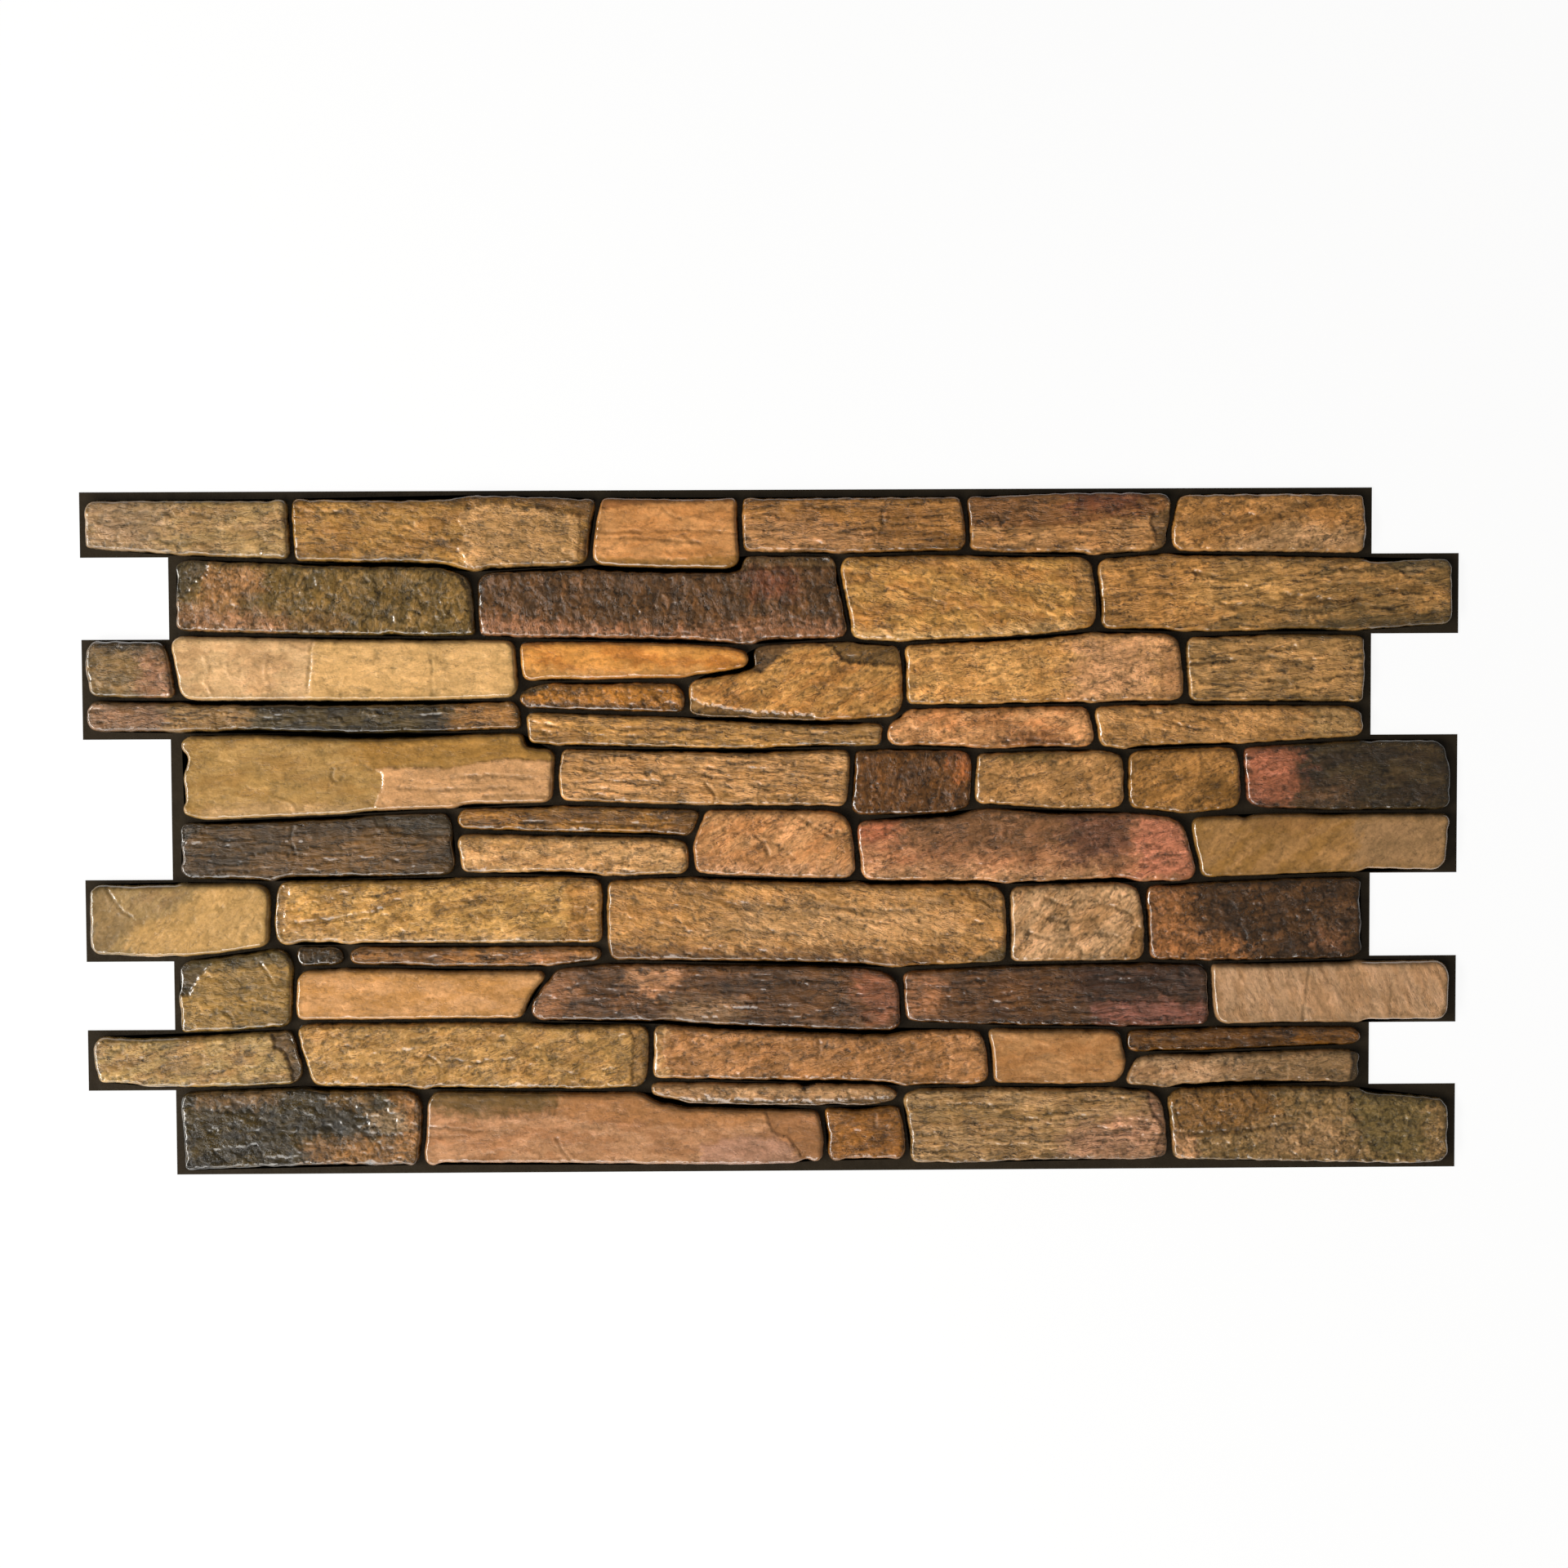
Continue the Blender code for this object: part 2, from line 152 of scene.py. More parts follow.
# Relief in millimetres: rough is bumps, wrinkle is folds with creases, chisel is facets, layer is
# the split strata, edge is how wide the rim is rounded, chip how often it is broken. Streak and
# speck are the print's own fine grain, gloss its shine, and stretch is how long its streaks are.
STYLES = {
    "smooth": {"rough": 0.28, "wrinkle": 0.32, "chisel": 0.0, "layer": 0.0, "edge": 2.1,
               "chip": 0.35, "streak": 0.28, "speck": 0.55, "gloss": 0.50, "stretch": 3.0},
    "grain": {"rough": 0.42, "wrinkle": 0.72, "chisel": 0.0, "layer": 0.14, "edge": 2.2,
              "chip": 0.7, "streak": 0.75, "speck": 0.70, "gloss": 0.55, "stretch": 3.2},
    "layered": {"rough": 0.34, "wrinkle": 0.64, "chisel": 0.0, "layer": 0.85, "edge": 1.9,
                "chip": 0.8, "streak": 1.0, "speck": 0.60, "gloss": 0.65, "stretch": 5.0},
    "rough": {"rough": 0.46, "wrinkle": 0.42, "chisel": 0.85, "layer": 0.0, "edge": 2.1,
              "chip": 1.0, "streak": 0.62, "speck": 0.90, "gloss": 0.80, "stretch": 2.0},
}

# Name, a point on the stone, style, direction of the grain in degrees, its two printed colours
# as they look in plain light (0 to 255), and what is special on its face.
STONES = tuple(Stone(*row) for row in (
    ("a1", (75, 461), "grain", 4, (171, 141, 96), (157, 125, 84), (
        area(0, (156, 128, 102), 16, (0, 438), (55, 438), (66, 485), (0, 485)),
        line(0.35, 0.6, (20, 462), (45, 465), (72, 461)),
        line(0.30, 0.6, (80, 471), (100, 468), (118, 470)),
        line(0.30, 0.6, (60, 452), (75, 449), (92, 452)))),
    ("a2", (230, 458), "grain", -4, (172, 130, 70), (154, 112, 56), (
        line(0.45, 0.7, (151, 471.5), (175, 472.5), (192, 471)),
        area(0.9, (188, 146, 98), 1.0, (273, 474), (292, 478), (312, 475.5), (333, 474),
             (340, 471), (355, 468), (354, 450), (352, 434), (300, 431), (276, 433), (270, 446),
             (275, 458), (269, 466)),
        area(-0.5, (106, 74, 40), 2.0, (255, 486), (368, 486), (368, 434), (357, 434),
             (358, 469), (341, 474), (312, 478), (290, 480.5), (262, 479)),
        area(0, (100, 76, 40), 2.5, (196, 435), (238, 434), (242, 441), (200, 443)),
        line(-0.3, 0.8, (196, 440), (215, 446), (240, 441), (270, 436)))),
    ("a3", (415, 458), "smooth", 3, (204, 148, 96), (190, 132, 78), (
        area(-0.6, (140, 92, 50), 1.2, (366, 485), (468, 485), (467, 479.5), (400, 477.5),
             (371, 473.5)),
        line(0.55, 0.7, (364, 458), (400, 457), (430, 459), (467, 456)),
        line(0.35, 0.6, (366, 452.5), (400, 453), (440, 449)),
        line(0.3, 0.7, (413, 474), (418, 469), (427, 466)),
        line(0.3, 0.7, (428, 456), (434, 450), (443, 449)),
        area(-0.6, (146, 106, 50), 2.5, (362, 440), (420, 438), (468, 441), (468, 428),
             (362, 430)))),
    ("a4", (548, 462), "layered", 2, (171, 122, 67), (151, 105, 55), (
        area(0, (194, 144, 100), 7, (468, 441), (545, 441), (562, 452), (530, 462), (468, 466)),
        line(0.55, 0.9, (573, 479), (568, 468), (570, 460), (563, 450)),
        area(0, (122, 84, 34), 5, (592, 440), (632, 440), (630, 458), (600, 452)),
        line(0.3, 0.6, (480, 474), (505, 476), (540, 472)))),
    ("a5", (700, 463), "layered", 2, (195, 145, 95), (179, 129, 79), (
        area(-0.9, (126, 84, 46), 0.9, (627, 486), (628, 460), (650, 459.5), (709, 461),
             (714, 464), (757, 468), (770, 470), (775, 486)),
        area(0, (116, 62, 40), 7, (700, 486), (757, 486), (752, 472), (705, 470)),
        area(-1.3, (112, 84, 50), 1.2, (756, 439), (763, 452), (758, 462), (760, 469),
             (776, 472), (776, 439)))),
    ("a6", (846, 462), "grain", 14, (188, 138, 84), (166, 118, 64), (
        area(0.2, (194, 154, 116), 5, (800, 440), (915, 440), (915, 455), (862, 463), (828, 452)),
        line(0.4, 0.9, (798, 452), (815, 460), (835, 459), (850, 468), (880, 470)),
        line(0.35, 0.9, (830, 450), (850, 456), (875, 455), (900, 462)),
        line(0.3, 0.8, (855, 476), (880, 474), (905, 477)),
        line(-0.6, 3.0, (790, 449), (815, 456), (845, 461), (872, 470), (902, 473)),
        line(0.6, 2.0, (785, 462), (812, 466), (838, 464), (862, 475), (885, 479)),
        area(-0.4, (190, 136, 78), 1.2, (772, 458), (782, 468), (789, 484), (774, 485)))),
    ("b1", (170, 410), "rough", 60, (132, 104, 56), (104, 84, 44), (
        area(0, (168, 122, 80), 4, (84, 434), (124, 434), (132, 418), (112, 408), (88, 406)),
        area(0, (164, 120, 90), 4, (69, 406), (112, 404), (150, 397), (146, 385), (69, 388)),
        area(0, (140, 106, 66), 5, (150, 398), (185, 400), (192, 385), (150, 385)),
        area(-1.2, (76, 66, 48), 0.8, (66, 440), (92, 438), (91, 432), (80, 420), (75, 412),
             (66, 412)),
        area(-0.9, (114, 90, 58), 1.0, (258, 440), (266, 429), (274, 418), (277, 398), (286, 396),
             (284, 440)),
        line(-0.6, 0.8, (201, 436), (204, 428), (209, 421)),
        line(-0.6, 0.8, (258, 416), (256, 406), (261, 398)),
        line(-0.45, 0.7, (164, 398), (172, 391), (178, 384)))),
    ("b2", (410, 408), "rough", 88, (114, 78, 44), (90, 62, 34), (
        area(0.3, (172, 120, 88), 3, (282, 380), (542, 378), (542, 392), (508, 394), (492, 398),
             (450, 389), (400, 389), (350, 392), (282, 399)),
        area(-1.2, (116, 88, 56), 0.9, (468, 442), (538, 442), (537, 431), (500, 432), (468, 430)),
        area(0, (124, 70, 44), 6, (474, 430), (504, 430), (508, 413), (480, 411)),
        line(0.5, 0.8, (400, 385), (440, 386), (470, 390), (500, 396), (520, 391)),
        line(0.7, 1.2, (466, 380), (474, 383), (480, 388)))),
    ("b3", (630, 410), "grain", -8, (203, 153, 85), (179, 127, 65), (
        area(0, (152, 108, 54), 5, (550, 442), (640, 441), (640, 432), (584, 431)),
        area(0, (240, 192, 134), 2, (550, 387), (600, 385), (650, 388), (704, 394), (704, 386),
             (650, 380), (550, 379)),
        line(0.45, 0.7, (575, 420), (592, 412), (612, 405)),
        line(0.35, 0.6, (615, 400), (640, 404), (664, 402)),
        area(-0.6, (158, 118, 68), 1.2, (703, 442), (706, 420), (704, 398), (724, 394),
             (724, 440)))),
    ("b4", (850, 412), "layered", 6, (177, 133, 79), (149, 116, 71), (
        area(0, (186, 134, 74), 14, (722, 386), (800, 386), (806, 440), (722, 440)),
        area(0.2, (206, 158, 98), 8, (790, 424), (850, 428), (880, 414), (840, 400), (785, 408)),
        line(0.5, 0.9, (790, 428), (820, 420), (860, 423), (900, 417), (935, 421)),
        line(0.5, 0.9, (835, 403), (870, 398), (905, 405), (950, 398)),
        line(0.4, 0.9, (758, 412), (800, 408), (840, 413), (885, 408)),
        line(0.35, 0.8, (860, 434), (895, 428), (925, 430)),
        line(-0.9, 2.4, (776, 396), (800, 413), (824, 424), (848, 420)),
        line(0.9, 1.6, (811, 405), (832, 401), (854, 411), (892, 405), (918, 411), (955, 418)),
        # Painted shade: a darker band along b4's lower edge, where its face curves down.
        area(0, (128, 100, 56), 4, (860, 390), (976, 390), (976, 398), (900, 400)),
        area(-0.9, (118, 100, 72), 1.0, (922, 442), (930, 431), (944, 424), (960, 430),
             (978, 430), (978, 442)),
        # Painted shade: a darker band along b4's lower edge.
        area(0, (84, 70, 44), 3, (850, 386), (976, 386), (976, 395), (900, 395)))),
    ("c1", (35, 361), "grain", 3, (132, 106, 70), (108, 88, 56), (
        area(0, (58, 46, 30), 3, (0, 386), (64, 386), (62, 374), (0, 375)),
        area(0, (158, 114, 90), 6, (44, 342), (68, 342), (62, 372), (44, 372)))),
    ("c2", (190, 361), "smooth", 4, (204, 169, 130), (194, 156, 117), (
        area(0.4, (208, 168, 114), 0.7, (167.5, 386), (164, 362), (161, 336), (312, 336),
             (312, 386)),
        line(0.3, 0.5, (249, 373), (250, 358), (249, 343)),
        line(-0.5, 1.0, (88, 371), (92, 361), (88, 353), (93, 345)),
        line(-0.4, 0.9, (105, 372), (103, 363), (107, 356)),
        line(-0.45, 1.0, (133, 370), (130, 359), (134, 352), (132, 345)),
        line(0.4, 0.7, (165, 382), (163, 366), (161, 345)),
        line(-0.45, 0.9, (183, 340), (183, 347), (188, 355)))),
    ("c3", (390, 368), "smooth", 0, (216, 152, 78), (196, 128, 58), (
        area(0, (204, 154, 96), 3, (312, 354), (440, 355), (440, 361), (312, 360)),)),
    ("c4", (370, 341), "rough", 5, (190, 128, 52), (160, 108, 44), (
        area(-0.5, (98, 66, 30), 1.5, (309, 337), (432, 336), (432, 328), (309, 330)),
        area(-0.6, (84, 70, 48), 1.2, (308, 353), (335, 353), (330, 346), (309, 341)))),
    ("c5", (520, 345), "grain", 25, (196, 146, 84), (180, 126, 66), (
        area(-1.5, (80, 60, 40), 1.2, (473, 380), (510, 380), (502, 374), (492, 366), (484, 357),
             (472, 360)),
        area(-1.3, (104, 78, 38), 0.9, (520, 381), (535, 374), (540, 366), (547, 363.5),
             (586, 362), (586, 381)),
        area(-1.8, (116, 88, 50), 1.0, (426, 344), (431.5, 340), (445, 334.5), (480, 329.5),
             (520, 327.5), (520, 320), (426, 320)),
        line(0.35, 0.9, (520, 350), (545, 344), (570, 348)))),
    ("c6", (680, 357), "grain", 8, (224, 170, 106), (208, 152, 88), (
        area(0, (206, 156, 118), 10, (700, 332), (766, 332), (766, 386), (704, 386)),
        area(-0.5, (164, 120, 82), 1.6, (765, 386), (768, 334), (786, 332), (786, 386)),
        area(0.35, None, 0.9, (583, 332), (583, 347), (612, 349), (626, 359), (680, 367),
             (690, 369), (704, 378), (722, 386), (790, 386), (790, 332)),
        line(-0.35, 0.8, (626, 340), (640, 349), (652, 354)))),
    ("c7", (850, 358), "layered", 2, (190, 146, 94), (162, 126, 80), (
        line(0.8, 1.1, (789, 362), (820, 365), (850, 366), (875, 363)),
        line(0.7, 1.0, (815, 372), (838, 371), (862, 374)),
        line(0.6, 1.0, (795, 350), (825, 353), (858, 349)),
        area(0.4, None, 0.8, (858, 334), (859, 352), (916, 353), (916, 334)))),
    ("c8", (150, 326), "layered", 0, (80, 66, 36), (52, 42, 24), (
        area(0, (144, 108, 82), 4, (0, 314), (58, 314), (64, 324), (58, 340), (0, 340)),
        area(0, (142, 110, 68), 3, (60, 314), (112, 316), (120, 326), (112, 340), (60, 340)),
        area(0.6, None, 0.7, (0, 314), (97, 314), (95, 326), (98, 340), (0, 340)),
        area(0, (166, 118, 62), 8, (262, 314), (314, 314), (314, 340), (264, 340)),
        line(-0.45, 0.5, (205, 329), (260, 330), (309, 331.5)),
        line(-0.4, 0.7, (135, 334), (137, 322)),
        line(-0.4, 0.7, (168, 333), (170, 325)))),
    ("c9", (440, 314), "layered", -2, (196, 147, 84), (163, 120, 66), (
        area(0, (150, 116, 72), 12, (505, 302), (572, 302), (572, 324), (505, 324)),
        line(0.45, 0.7, (330, 321), (380, 319), (440, 316), (500, 313)),
        line(0.4, 0.7, (340, 314), (400, 312), (470, 309)))),
    ("c10", (645, 318), "grain", 12, (212, 156, 108), (200, 138, 88), (
        area(-0.2, (122, 80, 46), 3.5, (648, 310), (668, 316), (700, 312), (704, 303),
             (652, 301)),
        line(0.5, 0.8, (655, 307), (672, 310), (696, 308)))),
    ("c11", (815, 320), "grain", -5, (201, 151, 96), (181, 133, 78), (
        line(0.35, 0.7, (760, 325), (790, 316), (818, 312)),
        area(0, (162, 130, 86), 8, (870, 306), (912, 308), (912, 334), (870, 334)))),
    ("d1", (200, 285), "smooth", 3, (166, 133, 81), (152, 118, 66), (
        area(0, (156, 116, 54), 7, (190, 320), (340, 320), (340, 292), (214, 291), (196, 300)),
        area(0.9, (200, 154, 114), 0.9, (209, 291), (213, 288), (214, 280), (211, 273),
             (208, 264), (210, 252), (342, 262), (342, 295), (300, 297), (262, 291)),
        line(0.4, 0.6, (178, 291), (177, 284), (182, 280), (186, 285)),
        area(0, (194, 158, 116), 3, (84, 250), (208, 256), (208, 264), (120, 266), (84, 262)),
        line(-0.45, 0.7, (135, 270), (150, 267), (150, 261)),
        line(0.45, 0.8, (262, 284), (290, 286), (320, 283)),
        line(0.45, 0.8, (225, 277), (255, 275), (300, 277)),
        line(0.4, 0.7, (285, 270), (310, 272), (332, 270)))),
    ("d2", (440, 282), "layered", -3, (200, 152, 102), (178, 132, 80), (
        line(0.7, 0.9, (443, 278), (450, 271), (449, 265)),
        line(0.4, 0.7, (355, 290), (400, 289), (450, 291), (500, 288)),
        line(0.4, 0.7, (350, 280), (390, 281), (430, 279)))),
    ("d3", (590, 280), "rough", 70, (120, 78, 36), (96, 62, 28), (
        area(0, (196, 118, 68), 4, (616, 303), (634, 303), (634, 280), (622, 282)),)),
    ("d4", (690, 282), "grain", 20, (187, 141, 91), (167, 123, 73), (
        area(0, (118, 92, 46), 3.5, (648, 302), (692, 302), (690, 294), (652, 293)),
        line(0.4, 0.8, (645, 285), (662, 281), (676, 284)))),
    ("d5", (785, 280), "grain", 25, (176, 128, 72), (154, 110, 56), (
        area(0, (120, 84, 32), 5, (790, 260), (826, 260), (826, 278), (800, 281)),
        line(-0.5, 0.9, (793, 299), (795, 288), (792, 274)))),
    ("d6", (900, 282), "grain", 5, (68, 54, 32), (50, 38, 24), (
        area(0, (176, 108, 82), 7, (824, 306), (860, 306), (868, 284), (858, 260), (824, 260)),
        area(0, (102, 74, 50), 6, (866, 272), (900, 276), (906, 262), (868, 258)))),
    ("e1", (160, 232), "layered", 0, (84, 62, 32), (62, 46, 24), (
        area(-1.5, (62, 52, 40), 0.8, (64, 256), (92, 256), (91, 251), (79, 246), (70, 234),
             (64, 233)),
        area(-1.0, (70, 58, 42), 1.2, (206, 262), (208, 251), (225, 244), (264, 241),
             (264, 262)),
        area(0, (114, 84, 48), 8, (120, 214), (205, 214), (236, 226), (256, 238), (215, 242),
             (160, 240)),
        line(0.5, 0.8, (150, 250), (147, 240), (152, 230), (149, 220)))),
    ("e2", (350, 253), "layered", 0, (158, 112, 52), (118, 82, 38), (
        line(0.4, 0.7, (275, 252), (330, 252), (400, 250)),)),
    ("e3", (345, 229), "grain", 5, (205, 161, 113), (187, 141, 91), (
        area(-1.0, (160, 124, 76), 1.0, (396, 246), (400, 241), (415, 237), (425, 233),
             (434, 226), (436, 246)),
        area(0, (176, 132, 74), 5, (268, 243), (330, 243), (330, 236), (268, 235)))),
    ("e4", (490, 236), "grain", 30, (202, 150, 104), (188, 132, 84), (
        area(0, (176, 124, 80), 6, (430, 232), (476, 224), (480, 210), (430, 212)),
        area(0.1, (198, 150, 114), 5, (434, 210), (550, 208), (550, 219), (440, 222)),
        line(0.55, 0.9, (478, 242), (484, 236), (487, 228)),
        line(0.4, 0.9, (505, 258), (520, 247), (532, 240)),
        area(-0.4, (180, 130, 80), 1.2, (534, 262), (540, 248), (543, 230), (552, 228),
             (552, 262)))),
    ("e5", (670, 232), "grain", 15, (186, 132, 96), (166, 112, 78), (
        area(0, (188, 110, 78), 5, (548, 254), (580, 256), (576, 238), (548, 236)),
        area(0, (110, 78, 50), 8, (582, 264), (706, 264), (702, 232), (640, 227), (588, 234)),
        area(0, (92, 60, 46), 7, (698, 262), (748, 262), (746, 222), (700, 220)),
        area(0.3, (192, 122, 98), 4, (748, 256), (782, 250), (794, 228), (792, 208), (750, 210)),
        area(0, (198, 150, 112), 5, (554, 206), (724, 204), (724, 216), (560, 219)),
        line(0.4, 0.8, (594, 220), (602, 215), (611, 213)))),
    ("e6", (880, 234), "smooth", 35, (168, 128, 82), (150, 112, 60), (
        area(0, (160, 128, 96), 8, (905, 212), (975, 212), (975, 257), (905, 257)),
        area(0, (150, 110, 66), 6, (830, 256), (885, 257), (880, 244), (835, 243)),
        line(-0.3, 0.8, (815, 240), (835, 228), (850, 220)))),
    ("f1", (68, 183), "smooth", 40, (150, 125, 85), (137, 111, 75), (
        area(-0.3, (128, 106, 72), 1.1, (0, 212), (18, 212), (23, 196), (36, 184), (24, 172),
             (10, 155), (0, 155)),
        area(0.2, (184, 148, 96), 1.0, (91, 213), (81, 201), (73, 196), (58, 186), (40, 180),
             (30, 168), (40, 155), (134, 155), (134, 213)),
        line(0.4, 0.8, (16, 210), (22, 196), (34, 186)))),
    ("f2", (255, 188), "grain", 10, (190, 148, 86), (160, 120, 62), (
        line(0.6, 0.9, (150, 181), (170, 182), (190, 185), (212, 190)),
        line(-0.45, 0.8, (301, 192), (292, 181), (284, 170)),
        area(-0.8, (146, 110, 58), 0.9, (134, 214), (148, 210), (143, 192), (142, 174),
             (134, 172)),
        area(-0.4, (168, 122, 66), 2, (342, 214), (372, 214), (372, 163), (340, 165), (348, 190)),
        area(0, (196, 156, 110), 4, (142, 164), (340, 163), (340, 171), (146, 173)),
        area(0, (140, 108, 54), 5, (150, 212), (200, 212), (190, 198), (158, 200)))),
    ("f3", (510, 180), "grain", -12, (187, 139, 83), (167, 121, 67), (
        area(-1.3, (100, 80, 44), 1.1, (626, 146), (634, 153), (645, 159), (660, 164),
             (660, 146)),
        area(-0.9, (168, 124, 72), 1.0, (620, 212), (630, 197), (645, 190), (658, 192),
             (658, 212)),
        area(-0.3, (96, 62, 22), 4, (368, 150), (600, 146), (608, 157), (500, 160), (370, 163)),
        area(0.2, (200, 156, 110), 12, (440, 170), (560, 164), (630, 176), (600, 192),
             (470, 192)),
        line(0.25, 1.1, (425, 202), (470, 190), (520, 193), (560, 186), (604, 189)),
        line(0.23, 1.0, (398, 182), (430, 172), (470, 176), (510, 170)))),
    ("f4", (705, 178), "grain", 40, (201, 161, 125), (181, 139, 99), (
        line(0.5, 1.0, (684, 196), (706, 188), (728, 192), (746, 184)),
        line(0.45, 1.0, (672, 172), (696, 164), (718, 172), (736, 168)),
        line(0.4, 1.0, (680, 184), (700, 178), (722, 182)),
        area(-0.9, (150, 110, 66), 1.1, (736, 148), (744, 160), (748, 175), (758, 175),
             (758, 148)))),
    ("f5", (835, 180), "rough", 20, (92, 62, 34), (68, 46, 26), (
        area(0, (178, 120, 74), 5, (756, 206), (776, 200), (782, 188), (792, 176), (802, 168),
             (822, 165), (830, 150), (756, 148)),
        area(0, (150, 100, 60), 5, (756, 208), (792, 208), (790, 194), (760, 188)),
        area(0, (122, 84, 60), 4, (878, 170), (898, 170), (898, 156), (878, 156)))),
    ("f6", (168, 157), "rough", 0, (82, 58, 20), (58, 42, 12), ()),
    ("f7", (280, 157), "layered", 0, (152, 104, 50), (112, 76, 36), (
        area(0, (178, 122, 80), 3, (300, 152), (345, 153), (345, 158), (300, 157)),)),
    ("g1", (108, 132), "grain", 0, (150, 118, 62), (122, 96, 46), (
        area(-1.1, (50, 42, 26), 0.9, (62, 162), (92, 160), (90, 152), (80, 141), (74, 130),
             (62, 127)),
        area(0, (78, 66, 34), 3, (70, 162), (150, 164), (150, 153), (74, 147)),
        line(0.6, 0.8, (126, 152), (130, 145), (135, 137)),
        line(0.4, 0.8, (84, 125), (115, 130), (142, 124)),
        line(0.45, 0.8, (100, 117), (106, 112), (107, 104)))),
    ("g2", (235, 129), "smooth", 3, (198, 150, 104), (182, 134, 80), ()),
    ("g3", (450, 126), "layered", 0, (104, 70, 38), (78, 52, 28), (
        area(0, (190, 138, 100), 4, (386, 151), (425, 150), (420, 134), (408, 128), (390, 131)),
        area(0, (146, 114, 84), 6, (416, 124), (464, 124), (462, 108), (418, 108)),
        line(-0.45, 0.5, (438, 119), (470, 121), (496, 122), (522, 120)),
        area(0, (146, 92, 66), 8, (548, 146), (582, 144), (584, 110), (560, 108), (552, 126)),
        area(0, (146, 102, 70), 4, (316, 122), (346, 150), (352, 136), (336, 110), (316, 110)))),
    ("g4", (690, 126), "layered", 2, (100, 66, 34), (78, 50, 26), (
        area(0, (160, 110, 76), 5, (581, 144), (612, 142), (608, 110), (581, 110)),
        area(0, (60, 40, 30), 7, (704, 150), (804, 150), (804, 122), (704, 121)),
        area(0.2, (138, 88, 78), 3, (718, 119), (760, 122), (804, 119), (804, 102), (722, 103)),
        line(-0.3, 0.5, (735, 117), (770, 120.5), (800, 120)))),
    ("g5", (890, 128), "smooth", 110, (188, 152, 124), (176, 138, 106), (
        line(0.4, 0.6, (874, 149), (871, 128), (869, 106)),
        line(0.3, 0.5, (932, 134), (931, 112)),
        line(-0.3, 0.8, (822, 142), (828, 130), (834, 120)),
        line(-0.3, 0.8, (842, 140), (848, 126)),
        line(-0.3, 0.8, (856, 136), (861, 122)),
        line(-0.25, 0.8, (902, 138), (908, 124)))),
    ("h1", (70, 82), "grain", 10, (164, 136, 88), (148, 116, 72), (
        area(-1.8, (84, 62, 36), 0.8, (128, 108), (131, 102), (134, 96), (134, 91), (141, 89),
             (143, 82), (146, 75), (147, 62), (158, 62), (158, 108)),
        line(-0.4, 0.8, (8, 76), (16, 72), (15, 65)))),
    ("h2", (275, 84), "grain", 20, (182, 142, 86), (162, 122, 68), (
        area(-0.9, (146, 110, 64), 0.9, (387, 110), (390, 90), (388, 60), (404, 60), (404, 110)),
        line(0.45, 0.8, (234, 85), (251, 84), (252, 70)),
        line(0.4, 0.8, (251, 84), (275, 80), (305, 83)),
        line(0.35, 0.8, (200, 92), (215, 88), (240, 91)))),
    ("h3", (520, 82), "grain", 15, (178, 128, 84), (158, 110, 64), (
        area(-0.4, (192, 150, 102), 1.0, (401, 108), (401, 64), (417, 64), (412, 84), (413, 108)),
        line(0.5, 0.6, (522, 99), (523, 89), (521, 79)),
        line(-0.35, 0.9, (561, 93), (562, 83)))),
    ("h4", (692, 82), "smooth", 5, (180, 134, 90), (166, 118, 72), ()),
    ("h5", (830, 94), "layered", 0, (121, 78, 22), (89, 56, 14), (
        line(0.5, 0.7, (760, 93), (830, 94), (900, 96)),)),
    ("h6", (820, 73), "grain", 8, (182, 146, 114), (164, 126, 92), (
        area(0, (126, 100, 68), 6, (832, 64), (912, 64), (912, 88), (832, 86)),
        area(-1.1, (70, 56, 38), 0.8, (902, 90), (905, 76), (902, 62), (914, 62), (914, 90)))),
    ("h7", (485, 56), "grain", 3, (184, 144, 106), (164, 124, 86), (
        area(-2.2, (50, 38, 26), 0.7, (505, 68), (512, 58.5), (520, 62), (521, 68)),
        area(-1.1, (120, 92, 62), 0.8, (402, 55), (430, 53), (520, 51.5), (580, 54), (580, 45),
             (402, 45)))),
    ("h8", (150, 33), "rough", 0, (63, 50, 12), (42, 33, 8), (
        area(0, (124, 94, 60), 4, (74, 62), (138, 62), (132, 52), (80, 50)),
        area(0, (124, 94, 52), 4, (170, 62), (204, 62), (200, 51), (176, 50)),
        area(0, (166, 118, 72), 3.5, (219, 62), (240, 62), (240, 16), (222, 22)),
        area(0, (152, 110, 66), 5, (156, 24), (238, 26), (238, 6), (160, 6)),
        area(0.5, (140, 116, 88), 1.0, (199, 46), (227, 47), (231, 34), (222, 29), (202, 31)),
        line(-0.5, 0.8, (196, 37), (204, 45), (214, 43)),
        line(-0.4, 0.8, (82, 20), (84, 10)))),
    ("h9", (370, 22), "smooth", 2, (176, 132, 100), (162, 116, 82), (
        area(-0.4, (92, 72, 30), 3, (238, 64), (240, 49), (260, 43), (275, 41), (290, 44),
             (336, 45), (340, 64)),
        area(-0.4, (162, 114, 72), 1.6, (336, 64), (334, 42), (400, 36), (450, 33), (484, 37),
             (524, 46), (524, 64)),
        area(0.35, (166, 126, 110), 1.0, (438, 20), (468, 27), (490, 26), (504, 16), (508, 2),
             (438, 0)),
        area(-1.0, (146, 102, 66), 0.9, (482, 48), (489, 29), (500, 25), (508, 14), (510, 2),
             (530, 2), (530, 48)),
        line(0.45, 0.7, (335, 26), (339, 16), (347, 8)),
        line(0.4, 0.6, (241, 35), (262, 33), (282, 31)),
        line(0.35, 0.6, (241, 28), (255, 27), (270, 28)))),
    ("h10", (555, 26), "grain", 10, (158, 106, 48), (134, 88, 36), (
        line(0.4, 0.8, (562, 42), (563, 33)),)),
    ("h11", (680, 32), "layered", 2, (168, 134, 94), (148, 114, 72), (
        area(0, (176, 132, 108), 7, (700, 4), (770, 4), (770, 46), (700, 30)),
